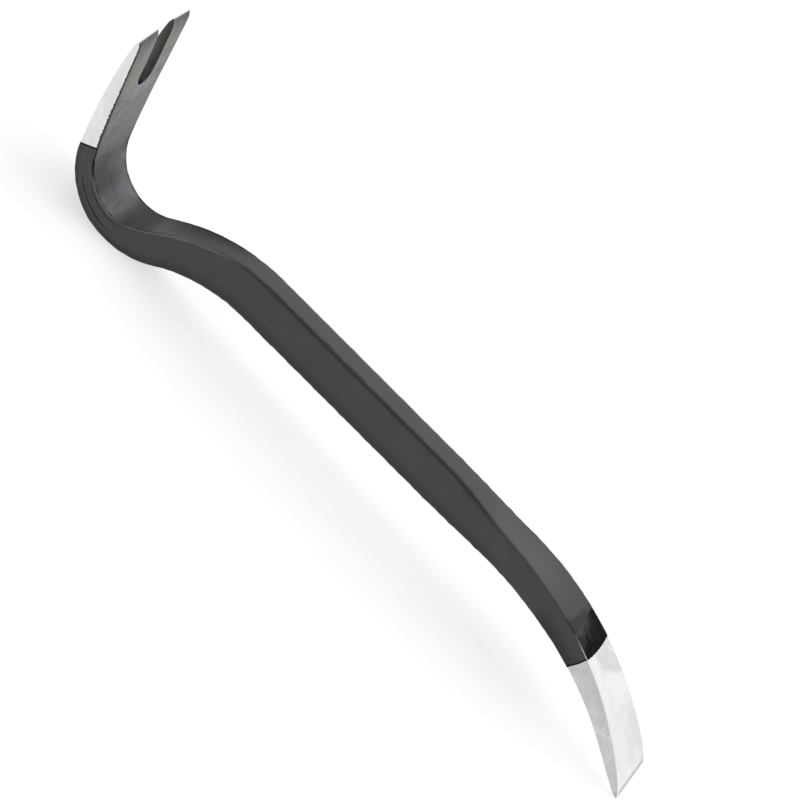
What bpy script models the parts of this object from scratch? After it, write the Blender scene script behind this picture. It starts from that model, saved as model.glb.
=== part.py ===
"""Nail puller: a one-piece steel forging with a forked claw at one end and a chisel at the other.

The bar lies as it does on a bench: it rests on the heel of its hook and on its chisel edge, with the
claw up. X runs along the bar from the claw to the chisel, Y across it, Z up. The origin is the middle
of the footprint, on the surface that the bar rests on.
"""

import math

import bmesh
import bpy
import numpy as np

# Path of the bar's middle line, from the claw's edge to the chisel's edge
CLAW_LENGTH = 0.0504
CLAW_BEND = math.radians(7.4)
HOOK_RADIUS = 0.0250
HOOK_BEND = math.radians(111.5)
NECK_RADIUS = 0.0665
NECK_BEND = math.radians(36.5)
SHANK_LENGTH = 0.1208
CHISEL_RADIUS = 0.1300
CHISEL_BEND = math.radians(31.6)
BLADE_RADIUS = 0.2240
BLADE_BEND = math.radians(6.6)

# Widths of the steel across the bar, from the claw to the chisel
CLAW_TIP_WIDTH = 0.0391
CLAW_MIDDLE_WIDTH = 0.0355
CLAW_ROOT_WIDTH = 0.0317
HOOK_TOP_WIDTH = 0.0259
HOOK_HEEL_WIDTH = 0.0232
HOOK_EXIT_WIDTH = 0.0174
NECK_WIDTH = 0.0143
SHANK_WIDTH = 0.0116
CHISEL_ROOT_WIDTH = 0.0164
SHOULDER_WIDTH = 0.0192
BLADE_ROOT_WIDTH = 0.0203
CHISEL_TIP_WIDTH = 0.0282

# Depths of the steel in the plane of the bends, from the claw to the chisel
CUTTING_EDGE = 0.0005
CLAW_BEVEL_DEPTH = 0.0022
CLAW_TINE_DEPTH = 0.0038
CLAW_MIDDLE_DEPTH = 0.0052
CLAW_ROOT_DEPTH = 0.0065
HOOK_TOP_DEPTH = 0.0076
HOOK_HEEL_DEPTH = 0.0086
HOOK_EXIT_DEPTH = 0.0118
NECK_DEPTH = 0.0133
SHANK_DEPTH = 0.0165
CHISEL_ROOT_DEPTH = 0.0121
SHOULDER_DEPTH = 0.0103
BLADE_ROOT_DEPTH = 0.0091
BLADE_MIDDLE_DEPTH = 0.0060
BLADE_TIP_DEPTH = 0.0043
CHISEL_BEVEL_DEPTH = 0.0024

# Where those sizes stand: distances from the nearer edge, and shares of the bends
CLAW_BEVEL_LENGTH = 0.0020
CLAW_TINE_PLACE = 0.0100
CLAW_MIDDLE_PLACE = 0.0220
CLAW_ROOT_PLACE = 0.0420
HOOK_TOP_SHARE = 0.25
HOOK_HEEL_SHARE = 0.58
HOOK_EXIT_SHARE = 0.84
NECK_SHARE = 0.13
FLARE_LENGTH = 0.0340
SHOULDER_SHARE = 0.35
BLADE_ROOT_SHARE = 0.58
BLADE_MIDDLE_PLACE = 0.0250
BLADE_TIP_PLACE = 0.0100
CHISEL_BEVEL_LENGTH = 0.0025

# Long edges of the bar: their radii, the most of the half depth that one takes, and where shading breaks
GROUND_EDGE_RADIUS = 0.0004
FORGED_EDGE_RADIUS = 0.0011
EDGE_SHARE = 0.8
SHARP_ANGLE = math.radians(35)
HEEL_CHAMFER = 0.0005

# Nail slot between the claw's tines
SLOT_LENGTH = 0.0238
SLOT_MOUTH_WIDTH = 0.0122
SLOT_ROOT_WIDTH = 0.0119
SLOT_CORNER_RADIUS = 0.0054
TINE_CROWN = 0.0013

# Coat on the shank and neck
COAT_THICKNESS = 0.0003
COAT_GAP = 0.0003
COAT_STEP = 0.00015
COAT_CLAW_END = 0.0465
COAT_CHISEL_END = 0.0508

# Fineness of the mesh
CLAW_STEPS = 8
HOOK_STEPS = 20
NECK_STEPS = 12
SHANK_STEPS = 5
CHISEL_STEPS = 16
BLADE_STEPS = 5
CORNER_STEPS = 3
SLOT_CORNER_STEPS = 8
POSE_ROUNDS = 8

SEGMENTS = (
    (CLAW_LENGTH, CLAW_BEND, CLAW_STEPS),
    (HOOK_RADIUS * HOOK_BEND, HOOK_BEND, HOOK_STEPS),
    (NECK_RADIUS * NECK_BEND, -NECK_BEND, NECK_STEPS),
    (SHANK_LENGTH, 0.0, SHANK_STEPS),
    (CHISEL_RADIUS * CHISEL_BEND, -CHISEL_BEND, CHISEL_STEPS),
    (BLADE_RADIUS * BLADE_BEND, -BLADE_BEND, BLADE_STEPS),
)
HOOK_START = CLAW_LENGTH
HOOK_LENGTH = SEGMENTS[1][0]
NECK_START = HOOK_START + HOOK_LENGTH
SHANK_START = NECK_START + SEGMENTS[2][0]
CHISEL_START = SHANK_START + SHANK_LENGTH
CHISEL_LENGTH = SEGMENTS[4][0]
BAR_LENGTH = CHISEL_START + CHISEL_LENGTH + SEGMENTS[5][0]
COAT_START = COAT_CLAW_END
COAT_END = BAR_LENGTH - COAT_CHISEL_END

HOOK_TOP = HOOK_START + HOOK_TOP_SHARE * HOOK_LENGTH
HOOK_HEEL = HOOK_START + HOOK_HEEL_SHARE * HOOK_LENGTH
HOOK_EXIT = HOOK_START + HOOK_EXIT_SHARE * HOOK_LENGTH
NECK_PLACE = NECK_START + NECK_SHARE * SEGMENTS[2][0]
SHOULDER = CHISEL_START + SHOULDER_SHARE * CHISEL_LENGTH
BLADE_ROOT = CHISEL_START + BLADE_ROOT_SHARE * CHISEL_LENGTH

WIDTHS = (
    (0.0, CLAW_TIP_WIDTH),
    (CLAW_MIDDLE_PLACE, CLAW_MIDDLE_WIDTH),
    (CLAW_ROOT_PLACE, CLAW_ROOT_WIDTH),
    (HOOK_TOP, HOOK_TOP_WIDTH),
    (HOOK_HEEL, HOOK_HEEL_WIDTH),
    (HOOK_EXIT, HOOK_EXIT_WIDTH),
    (NECK_PLACE, NECK_WIDTH),
    (SHANK_START, SHANK_WIDTH),
    (CHISEL_START - FLARE_LENGTH, SHANK_WIDTH),
    (CHISEL_START, CHISEL_ROOT_WIDTH),
    (SHOULDER, SHOULDER_WIDTH),
    (BLADE_ROOT, BLADE_ROOT_WIDTH),
    (BAR_LENGTH, CHISEL_TIP_WIDTH),
)
DEPTHS = (
    (0.0, CUTTING_EDGE),
    (CLAW_BEVEL_LENGTH, CLAW_BEVEL_DEPTH),
    (CLAW_TINE_PLACE, CLAW_TINE_DEPTH),
    (CLAW_MIDDLE_PLACE, CLAW_MIDDLE_DEPTH),
    (CLAW_ROOT_PLACE, CLAW_ROOT_DEPTH),
    (HOOK_TOP, HOOK_TOP_DEPTH),
    (HOOK_HEEL, HOOK_HEEL_DEPTH),
    (HOOK_EXIT, HOOK_EXIT_DEPTH),
    (NECK_PLACE, NECK_DEPTH),
    (SHANK_START, SHANK_DEPTH),
    (CHISEL_START - FLARE_LENGTH, SHANK_DEPTH),
    (CHISEL_START, CHISEL_ROOT_DEPTH),
    (SHOULDER, SHOULDER_DEPTH),
    (BLADE_ROOT, BLADE_ROOT_DEPTH),
    (BAR_LENGTH - BLADE_MIDDLE_PLACE, BLADE_MIDDLE_DEPTH),
    (BAR_LENGTH - BLADE_TIP_PLACE, BLADE_TIP_DEPTH),
    (BAR_LENGTH - CHISEL_BEVEL_LENGTH, CHISEL_BEVEL_DEPTH),
    (BAR_LENGTH, CUTTING_EDGE),
)
EDGE_RADII = (
    (0.0, GROUND_EDGE_RADIUS),
    (CLAW_ROOT_PLACE, GROUND_EDGE_RADIUS),
    (NECK_START, FORGED_EDGE_RADIUS),
    (CHISEL_START, FORGED_EDGE_RADIUS),
    (BLADE_ROOT, GROUND_EDGE_RADIUS),
    (BAR_LENGTH, GROUND_EDGE_RADIUS),
)
HEEL_CHAMFERS = (
    (HOOK_START, 0.0),
    (HOOK_TOP, HEEL_CHAMFER),
    (HOOK_EXIT, HEEL_CHAMFER),
    (SHANK_START, 0.0),
)


def smooth_between(stations, at):
    """Values at the distances, on a cubic through the stations that never overshoots them."""
    place, value = np.array(stations).T
    gap = np.diff(place)
    rise = np.diff(value) / gap
    slope = np.concatenate([rise[:1], np.zeros(len(gap) - 1), rise[-1:]])
    same_way = rise[:-1] * rise[1:] > 0
    near, far = 2 * gap[1:] + gap[:-1], gap[1:] + 2 * gap[:-1]
    before = np.where(same_way, rise[:-1], 1.0)
    after = np.where(same_way, rise[1:], 1.0)
    slope[1:-1] = np.where(same_way, (near + far) / (near / before + far / after), 0.0)
    at = np.clip(at, place[0], place[-1])
    k = np.clip(np.searchsorted(place, at, side="right") - 1, 0, len(gap) - 1)
    t = (at - place[k]) / gap[k]
    ends = (1 + 2 * t) * (1 - t) ** 2 * value[k] + t**2 * (3 - 2 * t) * value[k + 1]
    slopes = t * (1 - t) ** 2 * slope[k] + t**2 * (t - 1) * slope[k + 1]
    return ends + slopes * gap[k]


def middle_line(at):
    """Points (x, z) and headings of the bar's middle line, with the shank level and its start at x = 0."""
    heading = NECK_BEND - HOOK_BEND - CLAW_BEND
    start = np.zeros(2)
    points, headings = np.zeros((len(at), 2)), np.zeros(len(at))
    done = 0.0
    shank_start = start
    for number, (length, bend, _) in enumerate(SEGMENTS):
        if bend == 0.0:
            shank_start = start
        here = at >= done if number else np.full(len(at), True)
        along = at[here] - done
        turned = bend / length * along
        points[here] = start + walk(along, heading, turned)
        headings[here] = heading + turned
        start = start + walk(np.array([length]), heading, np.array([bend]))[0]
        heading += bend
        done += length
    return points - shank_start, headings


def walk(along, heading, turned):
    """Steps (x, z) after walking a distance on an arc that has turned by an angle meanwhile."""
    chord = along * np.sinc(turned / 2 / math.pi)
    way = heading + turned / 2
    return np.stack([chord * np.cos(way), chord * np.sin(way)], axis=1)


def section(at, grow):
    """Outlines (across, up) of the bar at the distances, each side grown by the given amount.

    Each is a rectangle with rounded corners. One point stands in the middle of the top face and one
    in that of the bottom face, and one on each side where the heel's chamfer starts.
    """
    half_width = smooth_between(WIDTHS, at) / 2 + grow
    half_depth = smooth_between(DEPTHS, at) / 2 + grow
    radius = np.minimum(smooth_between(EDGE_RADII, at) + grow, EDGE_SHARE * half_depth)
    heel = half_width - smooth_between(HEEL_CHAMFERS, at)
    turn = np.linspace(0, math.pi / 2, CORNER_STEPS + 1)
    across = radius[:, None] * np.cos(turn)
    up = radius[:, None] * np.sin(turn)
    top_side = (half_width - radius)[:, None] + across
    top_up = (half_depth - radius)[:, None] + up
    heel_side = (heel - radius)[:, None] + across[:, ::-1]
    heel_up = (radius - half_depth)[:, None] - up[:, ::-1]
    middle = np.zeros((len(at), 1))
    right = np.concatenate([middle, heel_side, half_width[:, None], top_side], axis=1)
    right_up = np.concatenate([-half_depth[:, None], heel_up, middle, top_up], axis=1)
    left = np.concatenate([middle, -right[:, :0:-1]], axis=1)
    left_up = np.concatenate([half_depth[:, None], right_up[:, :0:-1]], axis=1)
    return np.concatenate([right, left], axis=1), np.concatenate([right_up, left_up], axis=1)


def rings(at, grow):
    """Rings of points of the bar, in the frame whose X axis is the shank's middle line."""
    across, up = section(at, grow)
    crown = TINE_CROWN * np.clip(1 - at / CLAW_TINE_PLACE, 0, 1)
    half_width = np.abs(across).max(axis=1)
    forward = crown[:, None] * (1 - np.abs(across) / half_width[:, None])
    points, headings = middle_line(at)
    cos, sin = np.cos(headings)[:, None], np.sin(headings)[:, None]
    x = points[:, :1] - up * sin - forward * cos
    z = points[:, 1:] + up * cos - forward * sin
    return np.stack([x, across, z], axis=2)


def ring_places():
    """Distances of the rings: even steps along each segment, and closer ones at both cutting edges."""
    places = [0.0]
    for length, _, steps in SEGMENTS:
        places += [places[-1] + length / steps * step for step in range(1, steps + 1)]
    places += [CLAW_BEVEL_LENGTH / 2, CLAW_BEVEL_LENGTH]
    places += [BAR_LENGTH - CHISEL_BEVEL_LENGTH]
    return np.array(sorted(places))


def places_between(low, high):
    """The ring places well inside a stretch of the bar, with its two ends added."""
    clear = 2 * COAT_GAP
    places = ring_places()
    inner = places[(places > low + clear) & (places < high - clear)]
    return np.concatenate([[low], inner, [high]])


def make_resting_place(collection):
    """The empty that carries the pieces: it tips the bar until its heel and its chisel edge touch z = 0.

    Each round finds the lowest point of the claw's half and that of the chisel's half, and turns the
    outline by the slope between them.
    """
    coated = rings(places_between(COAT_START, COAT_END), COAT_STEP)
    bare = rings(places_between(0.0, BAR_LENGTH), 0.0)
    outline = np.concatenate([coated.reshape(-1, 3), bare.reshape(-1, 3)])[:, ::2]
    claw_half = outline[:, 0] < SHANK_LENGTH / 2
    angle = 0.0
    for _ in range(POSE_ROUNDS):
        cos, sin = math.cos(angle), math.sin(angle)
        turned = outline @ np.array([[cos, sin], [-sin, cos]])
        heel = turned[claw_half][turned[claw_half, 1].argmin()]
        edge = turned[~claw_half][turned[~claw_half, 1].argmin()]
        angle -= math.atan2(edge[1] - heel[1], edge[0] - heel[0])
    place = bpy.data.objects.new("resting_place", None)
    place.rotation_euler.y = -angle
    place.location.x = -(turned[:, 0].min() + turned[:, 0].max()) / 2
    place.location.z = -turned[:, 1].min()
    collection.objects.link(place)
    return place


def loft(name, points, place, collection, capped=True):
    """An object at a resting place, whose faces join each ring of points to the next.

    Its two ends are closed where capped, and open otherwise.
    """
    count, around = points.shape[:2]
    first = np.arange(around)
    second = np.roll(first, -1)
    row = np.arange(count - 1)[:, None] * around
    quads = np.stack([row + first, row + around + first, row + around + second, row + second], axis=2)
    faces = quads.reshape(-1, 4).tolist()
    if capped:
        faces.append(first.tolist())
        faces.append((first[::-1] + (count - 1) * around).tolist())
    mesh = bpy.data.meshes.new(name)
    mesh.from_pydata(points.reshape(-1, 3).tolist(), [], faces)
    mesh.validate()
    turn_faces_out(mesh)
    obj = bpy.data.objects.new(name, mesh)
    obj.parent = place
    collection.objects.link(obj)
    return obj


def turn_faces_out(mesh):
    """Makes all the faces of a mesh point outwards."""
    edit = bmesh.new()
    edit.from_mesh(mesh)
    bmesh.ops.recalc_face_normals(edit, faces=edit.faces)
    edit.to_mesh(mesh)
    edit.free()


def shade(obj):
    """Shades the rounded stretches smooth and leaves the ground corners sharp."""
    obj.data.shade_smooth()
    obj.data.set_sharp_from_angle(angle=SHARP_ANGLE)


def finish(obj, name, colour, roughness, metallic):
    """Gives an object its own material."""
    material = bpy.data.materials.new(name)
    material.use_nodes = True
    shader = material.node_tree.nodes["Principled BSDF"]
    shader.inputs["Base Color"].default_value = (*colour, 1.0)
    shader.inputs["Roughness"].default_value = roughness
    shader.inputs["Metallic"].default_value = metallic
    obj.data.materials.append(material)


def make_slot_cutter(place, cutters):
    """The nail slot's outline, in the plane of the claw, carried square through both faces."""
    deep = SLOT_LENGTH - SLOT_CORNER_RADIUS
    turn = np.linspace(0, math.pi / 2, SLOT_CORNER_STEPS + 1)
    inwards = deep + SLOT_CORNER_RADIUS * np.cos(turn)
    out = SLOT_ROOT_WIDTH / 2 - SLOT_CORNER_RADIUS + SLOT_CORNER_RADIUS * np.sin(turn)
    along = np.concatenate([inwards[::-1], inwards, [-SLOT_LENGTH, -SLOT_LENGTH]])
    taper = (SLOT_MOUTH_WIDTH - SLOT_ROOT_WIDTH) / 2 / deep
    mouth = SLOT_ROOT_WIDTH / 2 + taper * (deep + SLOT_LENGTH)
    across = np.concatenate([-out[::-1], out, [mouth, -mouth]])
    points, headings = middle_line(np.array([deep / 2]))
    ahead = np.array([math.cos(headings[0]), math.sin(headings[0])])
    square = np.array([-ahead[1], ahead[0]])
    faces = []
    for side in (-CLAW_ROOT_DEPTH, CLAW_ROOT_DEPTH):
        flat = points[0] + (along - deep / 2)[:, None] * ahead + side * square
        faces.append(np.stack([flat[:, 0], across, flat[:, 1]], axis=1))
    cutter = loft("nail_slot_cutter", np.array(faces), place, cutters)
    cutter.hide_render = True
    cutter.display_type = "WIRE"
    return cutter


def make_forged_bar(place, parts, cutters):
    """The steel: claw, hook, neck, shank and chisel in one piece, drawn back a little under the coat."""
    low, high = COAT_START - COAT_GAP, COAT_END + COAT_GAP
    claw = rings(places_between(0.0, low), 0.0)
    core = rings(places_between(low, high), COAT_STEP - COAT_THICKNESS - COAT_GAP)
    chisel = rings(places_between(high, BAR_LENGTH), 0.0)
    bar = loft("forged_bar", np.concatenate([claw, core, chisel]), place, parts)
    cut = bar.modifiers.new("nail_slot", "BOOLEAN")
    cut.operation = "DIFFERENCE"
    cut.solver = "EXACT"
    cut.object = make_slot_cutter(place, cutters)
    shade(bar)
    finish(bar, "ground_steel", (0.62, 0.61, 0.60), 0.34, 1.0)
    return bar


def make_shank_coat(place, parts):
    """The black coat: an even shell round the neck and the shank, open at the claw and at the chisel."""
    outside = rings(places_between(COAT_START, COAT_END), COAT_STEP)
    coat = loft("shank_coat", outside, place, parts, capped=False)
    shell = coat.modifiers.new("thickness", "SOLIDIFY")
    shell.thickness = COAT_THICKNESS
    shell.offset = -1.0
    shell.use_even_offset = True
    shade(coat)
    finish(coat, "black_coat", (0.045, 0.045, 0.047), 0.42, 0.0)
    return coat


def main():
    for obj in list(bpy.data.objects):
        bpy.data.objects.remove(obj, do_unlink=True)
    parts = bpy.data.collections.new("nail_puller")
    cutters = bpy.data.collections.new("cutters")
    bpy.context.scene.collection.children.link(parts)
    bpy.context.scene.collection.children.link(cutters)
    place = make_resting_place(parts)
    make_forged_bar(place, parts, cutters)
    make_shank_coat(place, parts)


if __name__ == "__main__":
    main()
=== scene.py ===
"""Nail puller: the finished surfaces of the forged steel bar and of its black coat, with a studio stage.

Every surface is first worked out on the bar as it would be if it were straight, in three lengths: along
(from the claw's edge to the chisel's edge), across, and up (towards the side that the claw opens to).
The last step bends those lengths round the bar's middle line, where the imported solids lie.
"""

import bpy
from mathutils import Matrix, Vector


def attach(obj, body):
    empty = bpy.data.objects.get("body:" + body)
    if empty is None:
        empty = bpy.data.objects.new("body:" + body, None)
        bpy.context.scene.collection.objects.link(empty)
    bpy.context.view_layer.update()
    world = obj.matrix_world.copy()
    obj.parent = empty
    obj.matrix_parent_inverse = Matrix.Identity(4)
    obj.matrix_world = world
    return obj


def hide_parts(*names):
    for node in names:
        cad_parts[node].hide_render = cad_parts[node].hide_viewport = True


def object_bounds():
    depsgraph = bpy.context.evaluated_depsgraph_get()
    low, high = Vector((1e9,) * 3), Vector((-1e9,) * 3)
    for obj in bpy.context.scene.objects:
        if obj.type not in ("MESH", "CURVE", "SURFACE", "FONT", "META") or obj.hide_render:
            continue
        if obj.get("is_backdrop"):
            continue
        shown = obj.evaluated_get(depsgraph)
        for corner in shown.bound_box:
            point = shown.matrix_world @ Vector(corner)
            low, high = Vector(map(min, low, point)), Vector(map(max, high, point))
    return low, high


bl_info = {
    "name": "Nail Puller",
    "version": (1, 0, 0),
    "blender": (4, 5, 0),
    "location": "3D View > Sidebar > Nail Puller",
    "description": "Makes a forged nail puller with a ground claw, a ground chisel and a black coat",
    "category": "Add Mesh",
}

import functools
import inspect
import math

import bmesh
import bpy
import numpy as np
from bpy.props import FloatProperty, FloatVectorProperty, PointerProperty
from mathutils import Matrix, Vector

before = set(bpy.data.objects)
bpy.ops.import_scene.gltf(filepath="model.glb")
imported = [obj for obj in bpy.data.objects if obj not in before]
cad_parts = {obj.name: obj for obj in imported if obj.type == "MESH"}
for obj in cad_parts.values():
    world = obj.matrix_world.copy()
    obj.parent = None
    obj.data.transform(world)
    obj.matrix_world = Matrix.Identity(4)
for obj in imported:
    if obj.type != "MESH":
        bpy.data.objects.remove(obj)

# Path of the bar's middle line, from the claw's edge to the chisel's edge
CLAW_LENGTH = 0.0504
CLAW_BEND = math.radians(7.4)
HOOK_RADIUS = 0.0250
HOOK_BEND = math.radians(111.5)
NECK_RADIUS = 0.0665
NECK_BEND = math.radians(36.5)
SHANK_LENGTH = 0.1208
CHISEL_RADIUS = 0.1300
CHISEL_BEND = math.radians(31.6)
BLADE_RADIUS = 0.2240
BLADE_BEND = math.radians(6.6)

# Where the bar rests: its tilt, and how far it is shifted along and up
REST_TILT = math.radians(2.439)
REST_SHIFT = (-0.06004, 0.02527)

SEGMENTS = (
    (CLAW_LENGTH, CLAW_BEND),
    (HOOK_RADIUS * HOOK_BEND, HOOK_BEND),
    (NECK_RADIUS * NECK_BEND, -NECK_BEND),
    (SHANK_LENGTH, 0.0),
    (CHISEL_RADIUS * CHISEL_BEND, -CHISEL_BEND),
    (BLADE_RADIUS * BLADE_BEND, -BLADE_BEND),
)
HOOK_START = CLAW_LENGTH
HOOK_LENGTH = SEGMENTS[1][0]
NECK_START = HOOK_START + HOOK_LENGTH
SHANK_START = NECK_START + SEGMENTS[2][0]
CHISEL_START = SHANK_START + SHANK_LENGTH
CHISEL_LENGTH = SEGMENTS[4][0]
BAR_LENGTH = CHISEL_START + CHISEL_LENGTH + SEGMENTS[5][0]
FLARE_START = CHISEL_START - 0.0340
HOOK_TOP = HOOK_START + 0.25 * HOOK_LENGTH
HOOK_HEEL = HOOK_START + 0.58 * HOOK_LENGTH
HOOK_EXIT = HOOK_START + 0.84 * HOOK_LENGTH
NECK_PLACE = NECK_START + 0.13 * SEGMENTS[2][0]
SHOULDER = CHISEL_START + 0.35 * CHISEL_LENGTH
BLADE_ROOT = CHISEL_START + 0.58 * CHISEL_LENGTH

# Width of the steel across the bar, by the distance along it
WIDTHS = (
    (0.0, 0.0391), (0.0220, 0.0355), (0.0420, 0.0317), (HOOK_TOP, 0.0259), (HOOK_HEEL, 0.0232),
    (HOOK_EXIT, 0.0174), (NECK_PLACE, 0.0143), (SHANK_START, 0.0116), (FLARE_START, 0.0116),
    (CHISEL_START, 0.0164), (SHOULDER, 0.0192), (BLADE_ROOT, 0.0203), (BAR_LENGTH, 0.0282),
)
# Depth of the steel in the plane of the bends, by the distance along it
DEPTHS = (
    (0.0, 0.0005), (0.0020, 0.0022), (0.0100, 0.0038), (0.0220, 0.0052), (0.0420, 0.0065),
    (HOOK_TOP, 0.0076), (HOOK_HEEL, 0.0086), (HOOK_EXIT, 0.0118), (NECK_PLACE, 0.0133),
    (SHANK_START, 0.0165), (FLARE_START, 0.0165), (CHISEL_START, 0.0121), (SHOULDER, 0.0103),
    (BLADE_ROOT, 0.0091), (BAR_LENGTH - 0.0250, 0.0060), (BAR_LENGTH - 0.0100, 0.0043),
    (BAR_LENGTH - 0.0025, 0.0024), (BAR_LENGTH, 0.0005),
)
# How far the lower half of each side leans in, by the distance along the bar
HEEL_CHAMFERS = ((HOOK_START, 0.0), (HOOK_TOP, 0.0005), (HOOK_EXIT, 0.0005), (SHANK_START, 0.0))
# Height of the hollows left by forging, by the distance along the bar, as a share of the full height
FORGING = ((0.0390, 0.0), (0.0560, 1.0), (0.3000, 1.0), (0.3150, 0.0))
# How far the forged faces swell in their middle, or sink below 0, by the distance along the bar
CROWNS = (
    (0.0, 0.0), (0.0040, 0.00012), (0.0120, 0.00034), (0.0340, 0.00040), (0.0640, -0.00010),
    (0.0800, 0.00004), (0.0900, 0.0), (0.1100, -0.00022), (0.1300, 0.00010), (0.1600, 0.00024),
    (CHISEL_START, 0.00026), (0.2950, 0.00016), (0.3120, 0.0),
)
# Radius of the long edges as a share of the forged edge radius, by the distance along the bar
EDGE_SHARES = (
    (0.0460, 0.45), (0.0640, 0.9), (0.0820, 0.9), (0.0960, 0.62), (0.1160, 0.66), (0.1340, 1.25),
    (0.2550, 1.25), (0.2720, 0.9), (0.2850, 0.55), (0.3050, 0.40),
)
# The most that an edge's radius may be as a share of half the depth, and how much the forged radius varies
EDGE_SHARE = 0.8
DIE_WEAR = 0.16
# Waves in which the forged radius varies along the bar, as waviness and start: the first two are
# multiplied, and a share of the third is added
EDGE_WAVES = ((770, 0.6), (283, 1.9), (1510, 4.0))
THIRD_WAVE_SHARE = 0.5
# How much of the crowns the sides take, and how much of the hollows stays on the ground ends
SIDE_SWELL = 0.6
GROUND_HOLLOWS = 0.12
# How far the tines' cutting edges stand out towards the slot, and where that has faded to nothing
TINE_CROWN = 0.0013
TINE_CROWN_PLACE = 0.0100

# Slow waves of the forging hollows: strength, waviness along, across and up, and start
HOLLOW_WAVES = (
    (1.0, 410, 150, 90, 0.7),
    (1.0, 265, -240, 170, 2.1),
    (0.8, 690, 320, -260, 4.4),
    (0.5, 1230, -510, 470, 1.2),
)
# The sides' two lines: the parting line's height as a share of the half depth, both widths, and the
# crease's depth as a share of the parting line's
PARTING_PLACE = -0.12
PARTING_WIDTH = 0.00021
CREASE_WIDTH = 0.00024
CREASE_SHARE = 0.75

# Stretches of the bar on which a mark shows: where it begins, is full, starts to fade and is gone
BANDS = {
    "parting groove": (0.0575, 0.0640, 0.0760, 0.0850),
    "crease groove": (0.0450, 0.0490, 0.0800, 0.0900),
    "hook's near half": (0.0500, 0.0550, 0.0650, 0.0800),
    "hook's far half": (0.0540, 0.0610, 0.0740, 0.0840),
    "hook's cool highlights": (0.0660, 0.0720, 0.0790, 0.0840),
    "hook's crease": (0.0440, 0.0468, 0.0560, 0.0610),
    "beside the crease": (0.0520, 0.0560, 0.0600, 0.0640),
    "parting line": (0.0550, 0.0620, 0.0770, 0.0860),
    "under the edge": (0.0620, 0.0670, 0.0800, 0.0900),
    "corner highlight": (0.0590, 0.0630, 0.1160, 0.1260),
    "neck's edge highlight": (0.0840, 0.0900, 0.1180, 0.1320),
    "neck": (0.0780, 0.0860, 0.1080, 0.1280),
    "behind the neck": (0.0860, 0.0980, 0.1200, 0.1380),
    "lower side": (0.0440, 0.0520, 0.2550, 0.2750),
    "shank's far rim highlight": (0.1340, 0.1560, 0.2100, 0.2450),
    "shank's crease": (0.1280, 0.1500, 0.2700, 0.2840),
    "cool end": (0.2300, 0.2700, 0.2860, 0.2960),
    "pale end": (0.2460, 0.2580, 0.2720, 0.2880),
    "end's far half": (0.2460, 0.2640, 0.3000, 0.3090),
    "chisel's root": (0.2820, 0.2910, 0.3110, 0.3120),
}
# Where the coat hides the change from the claw's finish to the chisel's
CLAW_FACE_END = 0.10
CHISEL_PLACE = 0.30
# How far from the middle line, and from the claw's edge, the steel counts as beside the slot, and how far
# from an edge the middle of the slot's wall counts
SLOT_REACH = 0.0095
SLOT_BAND_END = 0.030
WALL_REACH = 0.0015
# How dark the chisel's sides are on the scale from ground to forged, and how far the surface has turned
# from its faces where that begins and is full, on a scale from 0 to 1
CHISEL_SIDE_DARK = 0.5
CHISEL_SIDE_TURN = (0.2, 0.8)

# Border of the coat's black end: its place on the middle line, how far it slants across the bar, and how
# far from it the coat's rows lean over to that slant
ZONE_PLACE = 0.29850
ZONE_SLANT = 0.095
ZONE_REACH = 0.0060
# How much of a coat's face has to lie on top for the black end to take it
ZONE_TOP_SHARE = 0.45

# Fineness of the surfaces
FACE_STEPS = 16
CORNER_STEPS = 6
SIDE_STEPS = 10
SLOT_CORNER_STEPS = 4
SLOT_WALL_STEPS = 8
TIP_STEPS = 8
SLOT_TURN_STEPS = 23
SLOT_ROOT_STEPS = 3
COAT_BACK_STEPS = 59
SHARP_ANGLE = math.radians(42)
# Points of the slot's outline that are nearer than this to the middle plane are put on it
TOUCHING = 1e-9

# Where the rows of the mesh change their spacing
TIP_ROWS_END = 0.0024
CLAW_ROWS_END = 0.0450
BARE_ROWS_END = 0.0600
BARE_ROWS_START = 0.3060
BEVEL_ROWS = 0.0030
COAT_CLAW_ROWS = (0.0480, 0.0520)
COAT_CHISEL_ROWS = (0.2920, 0.3090)
# Spacing of the steel's rows under the coat: on the bends, the straight shank and the flare
BEND_ROW_STEP = 0.0011
SHANK_ROW_STEP = 0.0025
FLARE_ROW_STEP = 0.0013

# The coat: where its ring is measured, how far it stays off the steel, and the steps of its lips
RING_PLACE = 0.0600
COAT_GAP = 0.00002
LIP_STEPS = (0.0, 0.06, 0.22, 0.5)
# The coat's end at the claw: its slant on the side, and its shift and skew on the inner face
CLAW_END_SLANT = 0.00085
INNER_END_SHIFT = 0.0078
INNER_END_SKEW = 0.0012
# How far from the sides the end on the inner face begins to leave theirs, and has left it
INNER_END_TURN = (0.0003, 0.0016)
# The coat's end at the chisel: how far it bows on the side and on the faces
SIDE_BOW = 0.00012
FACE_BOW = 0.00080
# How the coat's two ends waver: strength, and waviness across and up
CLAW_END_WAVE = (0.00007, 700, 500)
CHISEL_END_WAVE = (0.00008, 2300, 1700)
# How the claw end wavers besides on the inner face: strength, waviness across, and start
INNER_END_WAVE = (0.0003, 410, 1.0)
# Lengths of the coat's lips: at the claw, what the inner face adds there, and at the chisel
CLAW_LIP = 0.00016
INNER_LIP = 0.0095
CHISEL_LIP = 0.00014

# Colours that more than one layer takes
WHITE = (1.0, 1.0, 1.0)
BARE_STEEL = (0.93, 0.92, 0.91)
# COAT_SHADE is the dark of the painted shade in the coat's creases and grooves; the coat's ends take it too
COAT_SHADE = (0.003, 0.003, 0.003)
ZONE_BLACK = (0.001, 0.001, 0.001)

# Sockets of a Mix node that mixes colours
MIX_SHARE = 0
MIX_FIRST = 6
MIX_SECOND = 7
MIX_RESULT = 2

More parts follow.
